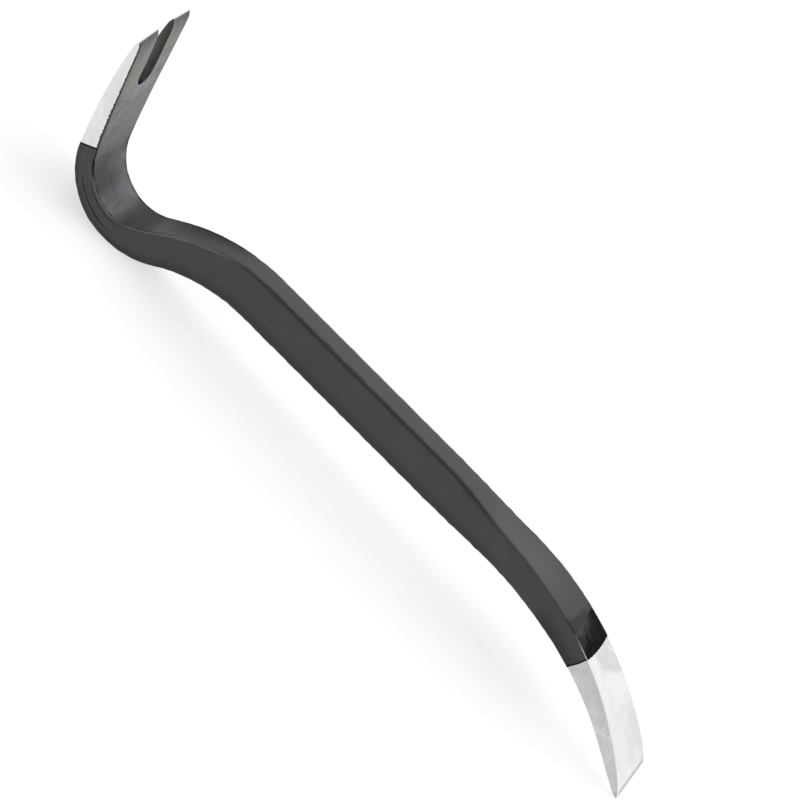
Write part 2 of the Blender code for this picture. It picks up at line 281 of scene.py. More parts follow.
# The stage: the floor's half width and own light, the lamp, and the camera with its three angles (azimuth,
# elevation and roll), the width of its film in millimetres and the range of distances that it sees
FLOOR_REACH = 30.0
FLOOR_GLOW = 0.605
LAMP_PLACE = (0.10, 0.70, 1.30)
LAMP_AIM = (0.0, 0.0, 0.03)
LAMP_SIZE = (2.0, 1.6)
CAMERA_AIM = (-0.0022, 0.0, 0.0381)
CAMERA_ANGLES = (-0.82, 32.15, 47.5)
CAMERA_DISTANCE = 1.2829
CAMERA_SENSOR = 36.0
CAMERA_CLIP = (0.01, 100.0)


def length(name, description, default, low, high):
    """A setting that is a length in metres."""
    return FloatProperty(
        name=name, description=description, default=default, min=low, max=high, unit="LENGTH")


def colour_setting(name, description, default):
    """A setting that is a colour."""
    return FloatVectorProperty(
        name=name, description=description, default=default, min=0.0, max=1.0, size=3, subtype="COLOR")


class BarSettings(bpy.types.PropertyGroup):
    """Sizes and colours of the steel bar."""

    slot_length: length(
        "Slot Length", "Length of the nail slot, from the claw's edge to the slot's root",
        0.0238, 0.015, 0.04)
    slot_mouth_width: length("Slot Mouth", "Width of the nail slot at the claw's edge", 0.0122, 0.008, 0.02)
    slot_root_width: length("Slot Root", "Width of the nail slot at its root", 0.0119, 0.0114, 0.02)
    slot_corner_radius: length(
        "Slot Corner Radius", "Radius of the two corners of the slot's root", 0.0054, 0.001, 0.0057)
    slot_edge_radius: length(
        "Slot Edge Radius", "Radius of the edges of the nail slot", 0.00028, 0.00005, 0.001)
    ground_edge_radius: length(
        "Ground Edge Radius", "Radius of the long edges of the ground claw and chisel", 0.0004, 0.0001, 0.002)
    forged_edge_radius: length(
        "Forged Edge Radius", "Radius of the long edges of the forged neck and shank", 0.0011, 0.0002, 0.003)
    hollow_depth: length(
        "Hollow Depth", "Depth of the shallow hollows that forging leaves in the bar", 0.00006, 0.0, 0.0005)
    parting_depth: length(
        "Parting Line Depth", "Depth of the line that the dies leave round the hook", 0.00036, 0.0, 0.0006)
    row_step: length(
        "Row Step", "Distance between the rows of the mesh on the ground ends", 0.0004, 0.0003, 0.002)
    bright_colour: colour_setting(
        "Ground Steel", "Colour of the ground claw and chisel", (0.865, 0.860, 0.850))
    dark_colour: colour_setting(
        "Forged Steel", "Colour of the steel that grinding leaves untouched", (0.155, 0.152, 0.142))


class CoatSettings(bpy.types.PropertyGroup):
    """Sizes and colours of the black coat."""

    claw_end: length(
        "Claw End", "Distance from the claw's edge to the coat, on the middle of the side",
        0.0471, 0.03, 0.08)
    chisel_end: length(
        "Chisel End", "Distance from the claw's edge to the coat's end at the chisel", 0.3089, 0.25, 0.34)
    thickness: length("Thickness", "How far the coat stands above the steel", 0.00015, 0.00005, 0.0005)
    row_step: length("Row Step", "Distance between the rows of the coat's mesh", 0.0009, 0.0005, 0.004)
    peel: length("Orange Peel", "Height of the fine bumps in the coat", 0.00002, 0.0, 0.0002)
    colour: colour_setting("Coat Colour", "Colour of the coat", (0.060, 0.060, 0.0608))


class StageSettings(bpy.types.PropertyGroup):
    """Light and floor round the nail puller."""

    floor_colour: colour_setting("Floor Colour", "Colour of the floor", (0.70, 0.70, 0.70))
    key_power: FloatProperty(
        name="Key Light", description="Power of the large soft light above the bar",
        default=9.2, min=0.0, max=200.0, unit="POWER")
    sky_strength: FloatProperty(
        name="Surrounding Light", description="Strength of the even light from all round",
        default=0.82, min=0.0, max=2.0)
    lens: FloatProperty(
        name="Lens", description="Focal length of the camera",
        default=166.5, min=20.0, max=400.0, unit="CAMERA")


def smooth_between(stations, at):
    """Values at the distances, on a cubic through the (place, value) stations that never overshoots them."""
    place, value = np.array(stations).T
    gap = np.diff(place)
    rise = np.diff(value) / gap
    slope = np.concatenate([rise[:1], np.zeros(len(gap) - 1), rise[-1:]])
    same_way = rise[:-1] * rise[1:] > 0
    near, far = 2 * gap[1:] + gap[:-1], gap[1:] + 2 * gap[:-1]
    before = np.where(same_way, rise[:-1], 1.0)
    after = np.where(same_way, rise[1:], 1.0)
    slope[1:-1] = np.where(same_way, (near + far) / (near / before + far / after), 0.0)
    at = np.clip(at, place[0], place[-1])
    k = np.clip(np.searchsorted(place, at, side="right") - 1, 0, len(gap) - 1)
    t = (at - place[k]) / gap[k]
    ends = (1 + 2 * t) * (1 - t) ** 2 * value[k] + t**2 * (3 - 2 * t) * value[k + 1]
    slopes = t * (1 - t) ** 2 * slope[k] + t**2 * (t - 1) * slope[k + 1]
    return ends + slopes * gap[k]


def smooth_step(low, high, at):
    """0 below low, 1 above high, and 3t^2 - 2t^3 between them, where t is the share of the way."""
    t = np.clip((at - low) / (high - low), 0.0, 1.0)
    return t * t * (3 - 2 * t)


def on_band(name, at):
    """1 on a named stretch of the bar and 0 beyond it, with a smooth step at either end."""
    rise, full, fade, gone = BANDS[name]
    return smooth_step(rise, full, at) * (1 - smooth_step(fade, gone, at))


def walk(along, heading, turned):
    """Steps (x, z) after walking a distance on an arc that has turned by an angle meanwhile.

    The chord is the distance times sin(half the angle) over half the angle, and it points half way
    through the turn.
    """
    chord = along * np.sinc(turned / 2 / math.pi)
    way = heading + turned / 2
    return np.stack([chord * np.cos(way), chord * np.sin(way)], axis=-1)


def middle_line(at):
    """Points (x, z) and headings of the bar's middle line, with the shank level and its start at x = 0.

    The line is a chain of arcs, each entered with the heading that the last one left.
    """
    heading = NECK_BEND - HOOK_BEND - CLAW_BEND
    start = np.zeros(2)
    shank_start = start
    points, headings = np.zeros((*at.shape, 2)), np.zeros(at.shape)
    done = 0.0
    for number, (length_of_arc, bend) in enumerate(SEGMENTS):
        if bend == 0.0:
            shank_start = start
        here = at >= done if number else np.full(at.shape, True)
        along = at[here] - done
        turned = bend / length_of_arc * along
        points[here] = start + walk(along, heading, turned)
        headings[here] = heading + turned
        start = start + walk(np.array(length_of_arc), heading, np.array(bend))
        heading += bend
        done += length_of_arc
    return points - shank_start, headings


def bend_round(unbent):
    """Points of the resting bar for points (along, across, up) of the straight one.

    Each is the middle line's point at its distance along, plus its height times the line's upward
    normal (-sin, cos of the heading). The whole is then tilted and shifted to where the bar rests.
    """
    along, across, up = np.moveaxis(unbent, -1, 0)
    points, headings = middle_line(along)
    x = points[..., 0] - up * np.sin(headings)
    z = points[..., 1] + up * np.cos(headings)
    cos, sin = math.cos(REST_TILT), math.sin(REST_TILT)
    return np.stack([x * cos - z * sin + REST_SHIFT[0], across, x * sin + z * cos + REST_SHIFT[1]], axis=-1)


def eased(steps):
    """Shares from 0 to 1 in steps that are closest at both ends: (1 - cos(pi k / n)) / 2."""
    return (1 - np.cos(np.linspace(0, math.pi, steps + 1))) / 2


def section_columns():
    """What each column of half a section is made of, from the middle of the bottom to that of the top.

    A column stands at across = out (half width - lean chamfer - r) + normal_across r and at
    up = level (half depth - r) + normal_up r, where r is the edge radius. Its turned is the angle from the
    nearer end of a rounded edge's arc, and on_side and on_top tell the faces apart.
    """
    face = 1 - eased(FACE_STEPS)
    turn = np.linspace(0, math.pi / 2, CORNER_STEPS + 1)[1:-1]
    below = -1 + (PARTING_PLACE + 1) * eased(SIDE_STEPS)
    above = PARTING_PLACE + (1 - PARTING_PLACE) * eased(SIDE_STEPS)
    side = np.concatenate([below, above[1:]])
    f, t, s = np.ones_like(face), np.ones_like(turn), np.ones_like(side)
    rows = {
        "out": [face[::-1], t, s, t, face],
        "level": [-f, -t, side, t, f],
        "lean": [f, t, np.clip(-side, 0, 1), 0 * t, 0 * f],
        "normal_across": [0 * f, np.sin(turn), s, np.cos(turn), 0 * f],
        "normal_up": [-f, -np.cos(turn), 0 * s, np.sin(turn), f],
        "on_side": [0 * f, 0 * t, s, 0 * t, 0 * f],
        "on_top": [0 * f, 0 * t, 0 * s, np.sin(turn), f],
        "turned": [0 * f, turn, 0 * s, math.pi / 2 - turn, 0 * f],
    }
    return {name: np.concatenate(parts) for name, parts in rows.items()}


def half_width(at):
    return smooth_between(WIDTHS, at) / 2


def half_depth(at):
    return smooth_between(DEPTHS, at) / 2


def kept_small(radius, at):
    """An edge's radius, or the set share of half the depth there if that is less."""
    return np.minimum(radius, EDGE_SHARE * half_depth(at))


def edge_radius(settings, at):
    """Radius of the long edges: the ground one on the claw and the blade, the forged one between them.

    The forged radius swells and shrinks a little along the bar, as a worn die leaves it.
    """
    forged = settings.forged_edge_radius * smooth_between(EDGE_SHARES, at)
    share = smooth_between(FORGING, at)
    first, second, third = (np.sin(at * waviness + start) for waviness, start in EDGE_WAVES)
    swell = first * second + THIRD_WAVE_SHARE * third
    return kept_small(settings.ground_edge_radius * (1 - share) + forged * (1 + DIE_WEAR * swell) * share, at)


def half_sections(settings, inner_along, inner_across, outer_along):
    """Half sections of the straight bar, one a row, as points, normals and where each point lies.

    A row runs at outer_along round the side, and its faces run from there to the point
    (inner_along, inner_across), which is on the slot's edge or on the middle line.
    """
    columns = section_columns()
    inwards = 1 - columns["out"]
    along = outer_along + (inner_along - outer_along) * inwards
    radius = edge_radius(settings, outer_along)
    half_side = half_depth(along) - radius
    half = half_width(outer_along)
    span = half - smooth_between(HEEL_CHAMFERS, outer_along) * columns["lean"] - radius
    across = span * columns["out"] + radius * columns["normal_across"] + inner_across * inwards
    up = half_side * columns["level"] + radius * columns["normal_up"]
    on_face = span - across + radius * math.pi / 4
    on_side = half_side * (1 - np.abs(columns["level"])) + radius * math.pi / 4
    on_corner = radius * np.abs(columns["turned"] - math.pi / 4)
    from_edge = np.where(columns["on_side"] == 1, on_side, on_face)
    from_edge = np.where(columns["turned"] > 0, on_corner, from_edge)
    up = up + crown(along, across / half) * (columns["normal_up"] == 1)
    swell = SIDE_SWELL * np.clip(smooth_between(CROWNS, along), 0, None) * smooth_between(FORGING, along)
    across = across + swell * (1 - columns["level"] ** 2) * columns["on_side"]
    across = across - grooves(settings, columns["level"], along, half_side) * columns["normal_across"]
    kept = ("normal_across", "normal_up", "on_top", "on_side", "level")
    places = {name: columns[name] + 0 * along for name in kept}
    places["from_edge"] = from_edge
    return np.stack([along, across, up], axis=-1), places


def crown(along, share):
    """How far the inner face swells: most on the middle line, and 1 - share^2 of that towards each side."""
    return smooth_between(CROWNS, along) * (1 - share**2)


def grooves(settings, level, along, half_side):
    """Depth of the lines that the dies leave in the sides of the hook.

    The parting line runs near the middle of the side, and a second line, the crease, under the inner
    edge. Each is a bell curve over the height, exp(-(distance / width)^2), faded in and out along the bar.
    """
    from_parting = half_side * (level - PARTING_PLACE)
    from_top = half_side * (1 - level)
    parting = on_band("parting groove", along) * np.exp(-((from_parting / PARTING_WIDTH) ** 2))
    crease = on_band("crease groove", along) * np.exp(-((from_top / CREASE_WIDTH) ** 2)) * (level > 0)
    return settings.parting_depth * (parting + CREASE_SHARE * crease)


def hollows(settings, unbent):
    """Depth of the shallow hollows of a forged surface: a sum of slow sines over all three lengths.

    It runs from 0 to the set depth, always inwards, and is much shallower on the ground ends.
    """
    along, across, up = np.moveaxis(unbent, -1, 0)
    waves = sum(
        size * np.sin(along * by_along + across * by_across + up * by_up + start)
        for size, by_along, by_across, by_up, start in HOLLOW_WAVES
    )
    strength = GROUND_HOLLOWS + (1 - GROUND_HOLLOWS) * smooth_between(FORGING, along)
    return settings.hollow_depth * strength * (0.5 + waves / (2 * sum(wave[0] for wave in HOLLOW_WAVES)))


def slot_sizes(settings):
    """The slot's corner radius, half of its root's flat, and the length of its straight wall."""
    radius = settings.slot_corner_radius
    return radius, settings.slot_root_width / 2 - radius, settings.slot_length - radius


def slot_taper(settings, share):
    """How much wider than its root half of the slot is, at a share of the way along its straight wall."""
    return (settings.slot_mouth_width - settings.slot_root_width) / 2 * (1 - np.clip(share, 0, 1))


def slot_edge(settings, walked):
    """Points and normals (along, across) on half of the nail slot's outline, after walking from its mouth.

    The outline is a straight wall that tapers from the mouth to the root, a quarter circle, the flat
    of the root, and from there on the middle line.
    """
    radius, flat, deep = slot_sizes(settings)
    turn = np.clip((walked - deep) / radius, 0, math.pi / 2)
    rest = walked - deep - radius * math.pi / 2
    along = np.minimum(walked, deep) + radius * np.sin(turn) + np.clip(rest - flat, 0, None)
    across = flat + radius * np.cos(turn) + slot_taper(settings, walked / deep) - np.clip(rest, 0, flat)
    across[np.abs(across) < TOUCHING] = 0.0
    return along, across, np.sin(turn), np.where(turn >= math.pi / 2, 0.0, np.cos(turn))


def slot_distance(settings, along, across):
    """Distance of points on the claw's faces from the edge of the nail slot.

    Beside the slot it is the distance across, and beyond it that from a box with round corners.
    """
    radius, flat, deep = slot_sizes(settings)
    beside = np.abs(across) - settings.slot_root_width / 2 - slot_taper(settings, along / deep)
    beyond = np.hypot(np.clip(along - deep, 0, None), np.clip(np.abs(across) - flat, 0, None)) - radius
    return np.where(along < deep, beside, beyond)


def spaced(low, high, gap):
    """Even steps of about the gap from low to high, without low itself."""
    return np.linspace(low, high, round((high - low) / gap) + 1)[1:]


def claw_rows(settings):
    """How far each of the claw's rows has walked along the slot, and which of them is at its root."""
    radius, flat, deep = slot_sizes(settings)
    turned = deep + radius * math.pi / 2
    apex = turned + flat
    last = apex + CLAW_ROWS_END - settings.slot_length - settings.slot_edge_radius
    stretches = (
        np.linspace(0, TIP_ROWS_END, TIP_STEPS + 1),
        spaced(TIP_ROWS_END, deep, settings.row_step),
        np.linspace(deep, turned, SLOT_TURN_STEPS + 1)[1:],
        np.linspace(turned, apex, SLOT_ROOT_STEPS + 1)[1:],
        spaced(apex, last, settings.row_step),
    )
    apex_row = sum(len(stretch) for stretch in stretches[:4]) - 1
    return np.concatenate(stretches), apex_row


def plain_rows(settings):
    """Distances along the bar of the rows beyond the claw: close where the steel shows, else wider."""
    step = settings.row_step
    tip = BAR_LENGTH - BEVEL_ROWS
    return np.concatenate([
        spaced(CLAW_ROWS_END, BARE_ROWS_END, step),
        spaced(BARE_ROWS_END, SHANK_START, BEND_ROW_STEP),
        spaced(SHANK_START, FLARE_START, SHANK_ROW_STEP),
        spaced(FLARE_START, BARE_ROWS_START, FLARE_ROW_STEP),
        spaced(BARE_ROWS_START, tip, step),
        spaced(tip, BAR_LENGTH, step / 2),
    ])


def crown_shift(unbent):
    """The tines' cutting edges stand out towards the slot.

    Every point is moved towards the tip by the crown, times its share of the way from the side to the
    middle, and the crown fades to nothing at its place along the bar.
    """
    along, across = unbent[..., 0], unbent[..., 1]
    moved = unbent.copy()
    shift = TINE_CROWN * np.clip(1 - along / TINE_CROWN_PLACE, 0, 1)
    moved[..., 0] -= shift * (1 - np.abs(across) / half_width(along))
    return moved


def slot_walls(settings, walked):
    """Columns of the slot's wall, from the edge of the top face to that of the bottom one.

    Each end is a quarter circle of the slot's edge radius, and between them the wall is square to the
    claw's middle surface.
    """
    along, across, normal_along, normal_across = (value[:, None] for value in slot_edge(settings, walked))
    radius = kept_small(settings.slot_edge_radius, along)
    turn = np.linspace(math.pi / 2, 0, SLOT_CORNER_STEPS + 1)[1:]
    wall = np.linspace(1, -1, SLOT_WALL_STEPS + 1)[1:-1]
    back = 1 - np.cos(turn)
    out = np.concatenate([back, 0 * wall, back[::-1]])
    bulge = np.concatenate([np.sin(turn), 0 * wall, -np.sin(turn)[::-1]])
    flat = np.concatenate([0 * turn + 1, wall, 0 * turn - 1])
    up = (half_depth(along) - radius) * flat + radius * bulge
    along = along + radius * normal_along * out
    across = across + radius * normal_across * out
    up = up + crown(along, across / half_width(along)) * np.clip(flat, 0, 1)
    return np.stack([along, across, up], axis=-1)


def steel_surface(settings):
    """The whole steel surface: points of the straight bar, faces, and where each point lies.

    Half of the bar is a grid of half sections. In the claw the rows are closed by the slot's wall, and
    beyond it they end on the middle line. The other half is its mirror image, and shares the points of
    the middle line.
    """
    walked, apex_row = claw_rows(settings)
    along, across, normal_along, normal_across = slot_edge(settings, walked)
    radius = kept_small(settings.slot_edge_radius, along)
    plain = plain_rows(settings)
    inner_along = np.concatenate([along + radius * normal_along, plain])
    inner_across = np.concatenate([across + radius * normal_across, 0 * plain])
    outer_along = np.concatenate([walked * CLAW_ROWS_END / walked[-1], plain])
    strip, places = half_sections(settings, inner_along[:, None], inner_across[:, None], outer_along[:, None])
    near_slot = np.abs(slot_distance(settings, strip[..., 0], strip[..., 1]))
    on_face = places["normal_across"] == 0
    places["from_edge"] = np.where(on_face, np.minimum(places["from_edge"], near_slot), places["from_edge"])
    wall = slot_walls(settings, walked[: apex_row + 1])
    wall_columns = wall.shape[1]
    count = wall[..., 0].size
    strip_index = np.arange(strip[..., 0].size).reshape(strip.shape[:2])
    wall_index = strip_index.size + np.arange(count).reshape(-1, wall_columns)
    middle = wall_columns // 2
    tip = np.concatenate([wall_index[0, middle:], strip_index[0], wall_index[0, :middle]])
    faces = np.concatenate([
        grid_faces(np.concatenate([strip_index[: apex_row + 1], wall_index], axis=1), closed=True),
        grid_faces(strip_index[apex_row:], closed=False),
        cap_faces(tip, shared=True),
        cap_faces(strip_index[-1], shared=False),
    ])
    points = np.concatenate([strip.reshape(-1, 3), wall.reshape(-1, 3)])
    flat = np.tile(np.linspace(-1, 1, wall_columns), len(wall))
    on_wall = {"cut": 1 + 0 * flat, "level": flat, "from_edge": (1 - np.abs(flat)) * WALL_REACH}
    places["cut"] = 0 * places["from_edge"]
    none = np.zeros(count)
    values = {
        name: np.concatenate([value.ravel(), on_wall.get(name, none)])
        for name, value in places.items()
    }
    return mirrored(points, faces, values)


def grid_faces(index, closed):
    """Quads between neighbouring rows of an index grid, round each row if it is closed."""
    following = np.roll(index, -1, axis=1) if closed else index[:, 1:]
    index = index if closed else index[:, :-1]
    quads = np.stack([index[:-1], index[1:], following[1:], following[:-1]], axis=-1)
    return quads.reshape(-1, 4)


def cap_faces(loop, shared):
    """Faces across the end of a loop: point k is joined to its opposite, counted from the loop's end.

    Where the loop's first point is on the axis of that symmetry it is its own opposite. A triangle is a
    quad that names one point twice.
    """
    opposite = np.concatenate([loop[:1], loop[:0:-1]]) if shared else loop[::-1]
    half = len(loop) // 2
    return np.stack([loop[:half], opposite[:half], opposite[1 : half + 1], loop[1 : half + 1]], axis=-1)


def reflected(name, value):
    """A named value as it is in the mirror image across the middle plane."""
    return -value if name == "normal_across" else value


def mirrored(points, faces, values):
    """The surface and its mirror image across the middle plane, joined where they touch it."""
    beside = points[:, 1] != 0
    count = len(points)
    twin = np.where(beside, count - 1 + np.cumsum(beside), np.arange(count))
    faces = np.concatenate([faces, twin[faces[:, ::-1]]])
    values = {name: np.concatenate([value, reflected(name, value[beside])]) for name, value in values.items()}
    return np.concatenate([points, points[beside] * (1, -1, 1)]), faces, values


def pushed(settings, unbent, values, outwards):
    """Points moved along their normals by a distance, less the forging hollows."""
    moved = unbent.copy()
    push = outwards - hollows(settings, unbent)
    moved[..., 1] += push * values["normal_across"]
    moved[..., 2] += push * values["normal_up"]
    return moved


def coat_ends(settings, places, strip):
    """Where the coat ends at the claw and at the chisel, for every column, and how long its lips are.

    On the sides the claw's end slants by under two millimetres. On the inner face it lies some eight
    millimetres further back, and the coat thins out over about a centimetre. The chisel's end bows
    towards the chisel's edge, and slow sines make both ends a little uneven.
    """
    across, up = strip[..., 1], strip[..., 2]
    size, waviness, begin = INNER_END_WAVE
    width = np.abs(across).max()
    share = across / width
    height = up / np.abs(up).max()
    inner = places["on_top"] * smooth_step(*INNER_END_TURN, width - np.abs(across))
    start = settings.claw_end - CLAW_END_SLANT * height + inner * (INNER_END_SHIFT + INNER_END_SKEW * share)
    start = start + wavering(CLAW_END_WAVE, strip) + size * inner * np.sin(across * waviness + begin)
    bow = np.where(places["on_side"] == 1, SIDE_BOW * (1 - height**2), FACE_BOW * (1 - share**2))
    end = settings.chisel_end + bow + wavering(CHISEL_END_WAVE, strip)
    return start, CLAW_LIP + inner * INNER_LIP, end, CHISEL_LIP


def wavering(wave, strip):
    """How far an end of the coat wavers at each point: a slow sine over the lengths across and up."""
    size, by_across, by_up = wave
    return size * np.sin(strip[..., 1] * by_across + strip[..., 2] * by_up)


def coat_surface(settings, bar):
    """The coat as one closed skin: out along its outer surface and back along the steel.

    Each lip rises as a quarter circle, sqrt(1 - (1 - d)^2) of the thickness, where d is the share of the
    lip's length. Rows are shared out evenly between the two lips.
    """
    half_ring = plain_half(bar, np.array([[RING_PLACE]]))
    ring, ring_places = full_ring(half_ring, half_ring)
    start, start_lip, end, end_lip = coat_ends(settings, ring_places, ring)
    lip = np.array(LIP_STEPS)[:, None]
    nominal = coat_rows(settings)[:, None]
    share = (nominal - nominal[0]) / (nominal[-1] - nominal[0])
    first, final = start + start_lip, end - end_lip
    main = first + (final - first) * share
    reach = np.clip(1 - np.abs(main - ZONE_PLACE) / ZONE_REACH, 0, 1) * ring_places["on_top"]
    main = main - ZONE_SLANT * ring[..., 1] * reach
    rise = np.sqrt(1 - (1 - lip) ** 2) + 0 * start
    back = start + (end - start) * np.linspace(1, 0, COAT_BACK_STEPS + 1)[1:-1, None]
    along = np.concatenate([start + start_lip * lip, main, end - end_lip * lip[::-1], back])
    height = np.concatenate([rise, 1 + 0 * main, rise[::-1], 0 * back])
    half = along.shape[1] // 2 + 1
    other_half = np.concatenate([along[:, :1], along[:, : half - 2 : -1]], axis=1)
    points, values = full_ring(plain_half(bar, along[:, :half]), plain_half(bar, other_half))
    points = pushed(bar, points, values, COAT_GAP + (settings.thickness - COAT_GAP) * height)
    values["from_end"] = np.minimum(along - start, end - along)
    index = np.arange(along.size).reshape(along.shape)
    faces = grid_faces(np.concatenate([index, index[:1]]), closed=True)
    return points.reshape(-1, 3), faces, {name: value.ravel() for name, value in values.items()}


def plain_half(bar, along):
    """Half sections that lie square across the bar, as far as their middle line."""
    return half_sections(bar, along, 0 * along, along)


def full_ring(half, other_half):
    """Whole rings from two halves, each given as points and places: one up the far side as it is, and
    one down the near side as its mirror image."""
    (points, places), (other_points, other_places) = half, other_half
    back = (slice(None), slice(-2, 0, -1))
    both = {
        name: np.concatenate([value, reflected(name, other_places[name])[back]], axis=1)
        for name, value in places.items()
    }
    return np.concatenate([points, (other_points * (1, -1, 1))[back]], axis=1), both


def coat_rows(settings):
    """Distances along the bar of the coat's rows, close on the bends and wider on the straight shank."""
    step = settings.row_step
    start, close_end = COAT_CLAW_ROWS
    close_start, end = COAT_CHISEL_ROWS
    return np.concatenate([
        [start],
        spaced(start, close_end, step / 3),
        spaced(close_end, SHANK_START, step),
        spaced(SHANK_START, FLARE_START, 2 * step),
        spaced(FLARE_START, close_start, step),
        spaced(close_start, end, step / 3),
    ])


def place_object(name, data):
    """A new object in the scene, at the origin."""
    obj = bpy.data.objects.new(name, data)
    bpy.context.scene.collection.objects.link(obj)
    return obj


def make_object(name, points, faces, attributes, material):
    """A mesh object at the origin from points and faces, with its values stored on the points."""
    mesh = bpy.data.meshes.new(name)
    repeated = faces == np.roll(faces, 1, axis=1)
    three = repeated.any(axis=1)
    triangles = faces[three][~repeated[three]].reshape(-1, 3)
    mesh.from_pydata(points.tolist(), [], faces[~three].tolist() + triangles.tolist())
    for title, values in attributes.items():
        vector = values.ndim == 2
        layer = mesh.attributes.new(title, "FLOAT_VECTOR" if vector else "FLOAT", "POINT")
        layer.data.foreach_set("vector" if vector else "value", values.astype(np.float32).ravel())
    edit = bmesh.new()
    edit.from_mesh(mesh)
    bmesh.ops.recalc_face_normals(edit, faces=edit.faces)
    edit.to_mesh(mesh)
    edit.free()
    mesh.shade_smooth()
    mesh.set_sharp_from_angle(angle=SHARP_ANGLE)
    mesh.materials.append(material)
    return place_object(name, mesh)


class Value:
    """A socket of a node tree. Arithmetic with it adds the nodes that work out the result."""

    def __init__(self, socket):
        self.socket = socket
        self.tree = socket.id_data

    def math(self, operation, *values):
        return made(self.tree, "ShaderNodeMath", 0, dict(enumerate(values)), operation=operation)

    def __add__(self, other):
        return self.math("ADD", self, other)

    def __sub__(self, other):
        return self.math("SUBTRACT", self, other)

    def __rsub__(self, other):
        return self.math("SUBTRACT", other, self)

    def __mul__(self, other):
        return self.math("MULTIPLY", self, other)

    def __truediv__(self, other):
        return self.math("DIVIDE", self, other)

    def __abs__(self):
        return self.math("ABSOLUTE", self)

    def above(self, limit):
        return self.math("GREATER_THAN", self, limit)

    def below(self, limit):
        return self.math("LESS_THAN", self, limit)

    def or_more(self, *others):
        """The greatest of this value and the others."""
        most = self
        for other in others:
            most = self.math("MAXIMUM", most, other)
        return most

    def ramp(self, low, high, to_low=0.0, to_high=1.0, smooth=True):
        """From to_low to to_high while this value goes from low to high, eased at both ends or straight."""
        values = {"Value": self, "From Min": low, "From Max": high, "To Min": to_low, "To Max": to_high}
        kind = "SMOOTHSTEP" if smooth else "LINEAR"
        return made(self.tree, "ShaderNodeMapRange", "Result", values, interpolation_type=kind)

    def between(self, rise, full, fade, gone):
        """0 up to rise, 1 from full to fade, and 0 again from gone on."""
        return self.ramp(rise, full) * self.ramp(gone, fade)

    def on_band(self, name):
        """1 on a named stretch of the bar and 0 beyond it, for a value that is the distance along."""
        return self.between(*BANDS[name])

    def noise(self, scale, detail=2.0, roughness=0.5, distortion=0.0):
        values = {"Scale": scale, "Detail": detail, "Roughness": roughness, "Distortion": distortion}
        return made(self.tree, "ShaderNodeTexNoise", "Fac", {"Vector": self, **values})

    def stretched(self, scale, rotation=(0.0, 0.0, 0.0)):
        return made(self.tree, "ShaderNodeMapping", 0, {"Vector": self, "Scale": scale, "Rotation": rotation})

    def bumps(self, strength, distance):
        """A normal that takes this value as a height."""
        values = {"Height": self, "Strength": strength, "Distance": distance}
        return made(self.tree, "ShaderNodeBump", "Normal", values)


def plug(value, socket):
    """Joins a value to a socket, or sets the socket to a number, a vector or a colour."""
    if isinstance(value, Value):
        value.tree.links.new(value.socket, socket)
    elif socket.type == "RGBA":
        socket.default_value = (*value, 1.0)
    else:
        socket.default_value = value


def add_node(tree, kind, values=None, **settings):
    """The outputs of a new node, whose inputs are set or joined by name or number."""
    node = tree.nodes.new(kind)
    for name, value in settings.items():
        setattr(node, name, value)
    for name, value in (values or {}).items():
        plug(value, node.inputs[name])
    return node.outputs


def made(tree, kind, output, values=None, **settings):
    """One output of a new node, as a value."""
    return Value(add_node(tree, kind, values, **settings)[output])


def first_tree(values):
    """The node tree of the first of the values that is a socket."""
    return next(value.tree for value in values if isinstance(value, Value))


def painted(colour, *layers):
    """A colour under layers of (share, colour), the last one on top."""
    for share, tone in layers:
        inputs = {MIX_SHARE: share, MIX_FIRST: colour, MIX_SECOND: tone}
        colour = made(first_tree(inputs.values()), "ShaderNodeMix", MIX_RESULT, inputs, data_type="RGBA")
    return colour


def tinted(colour, *shares):
    """A colour with its channels multiplied, all by one share or each by its own."""
    return tuple(channel * share for channel, share in zip(colour, shares * (3 // len(shares))))


def grey(level):
    return (level,) * 3


def titled(name):
    """A function's or a parameter's name as a title."""
    return name.replace("_", " ").title()


def node_group(*results):
    """Makes a shader node group of a function that works out values from values.

    The group has the function's name and an input for each of its parameters, and puts out the named
    results. It is built at its first use, and each use places it with values of its own.
    """
    def wrap(build):
        title = titled(build.__name__)
        inputs = [titled(name) for name in inspect.signature(build).parameters]

        def new_group(values):
            group = bpy.data.node_groups.new(title, "ShaderNodeTree")
            for name, value in zip(inputs, values):
                kind = "NodeSocketVector" if name == "Vector" else "NodeSocketFloat"
                socket = group.interface.new_socket(name, in_out="INPUT", socket_type=kind)
                if isinstance(value, float):
                    socket.default_value = value
            for name in results:
                kind = "NodeSocketColor" if name == "Colour" else "NodeSocketFloat"
                group.interface.new_socket(name, in_out="OUTPUT", socket_type=kind)
            given = add_node(group, "NodeGroupInput")
            worked_out = build(*(Value(given[name]) for name in inputs))
            add_node(group, "NodeGroupOutput", dict(zip(results, worked_out)))

        @functools.wraps(build)
        def place(*values):
            if title not in bpy.data.node_groups:
                new_group(values)
            group, given = bpy.data.node_groups[title], dict(zip(inputs, values))
            outputs = add_node(first_tree(values), "ShaderNodeGroup", given, node_tree=group)
            placed = [Value(outputs[name]) for name in results]
            return placed[0] if len(placed) == 1 else placed

        return place

    return wrap


@node_group("Value")
def cloudy_patches(vector, patches_per_metre):
    """Two sizes of noise added up, and their middle range spread from 0 to 1."""
    broad = vector.noise(patches_per_metre, detail=3.0, roughness=0.55, distortion=0.6)
    fine = vector.noise(patches_per_metre * 5.3, detail=3.0, roughness=0.6)
    return [(broad * 0.7 + fine * 0.3).ramp(0.3, 0.7, smooth=False)]


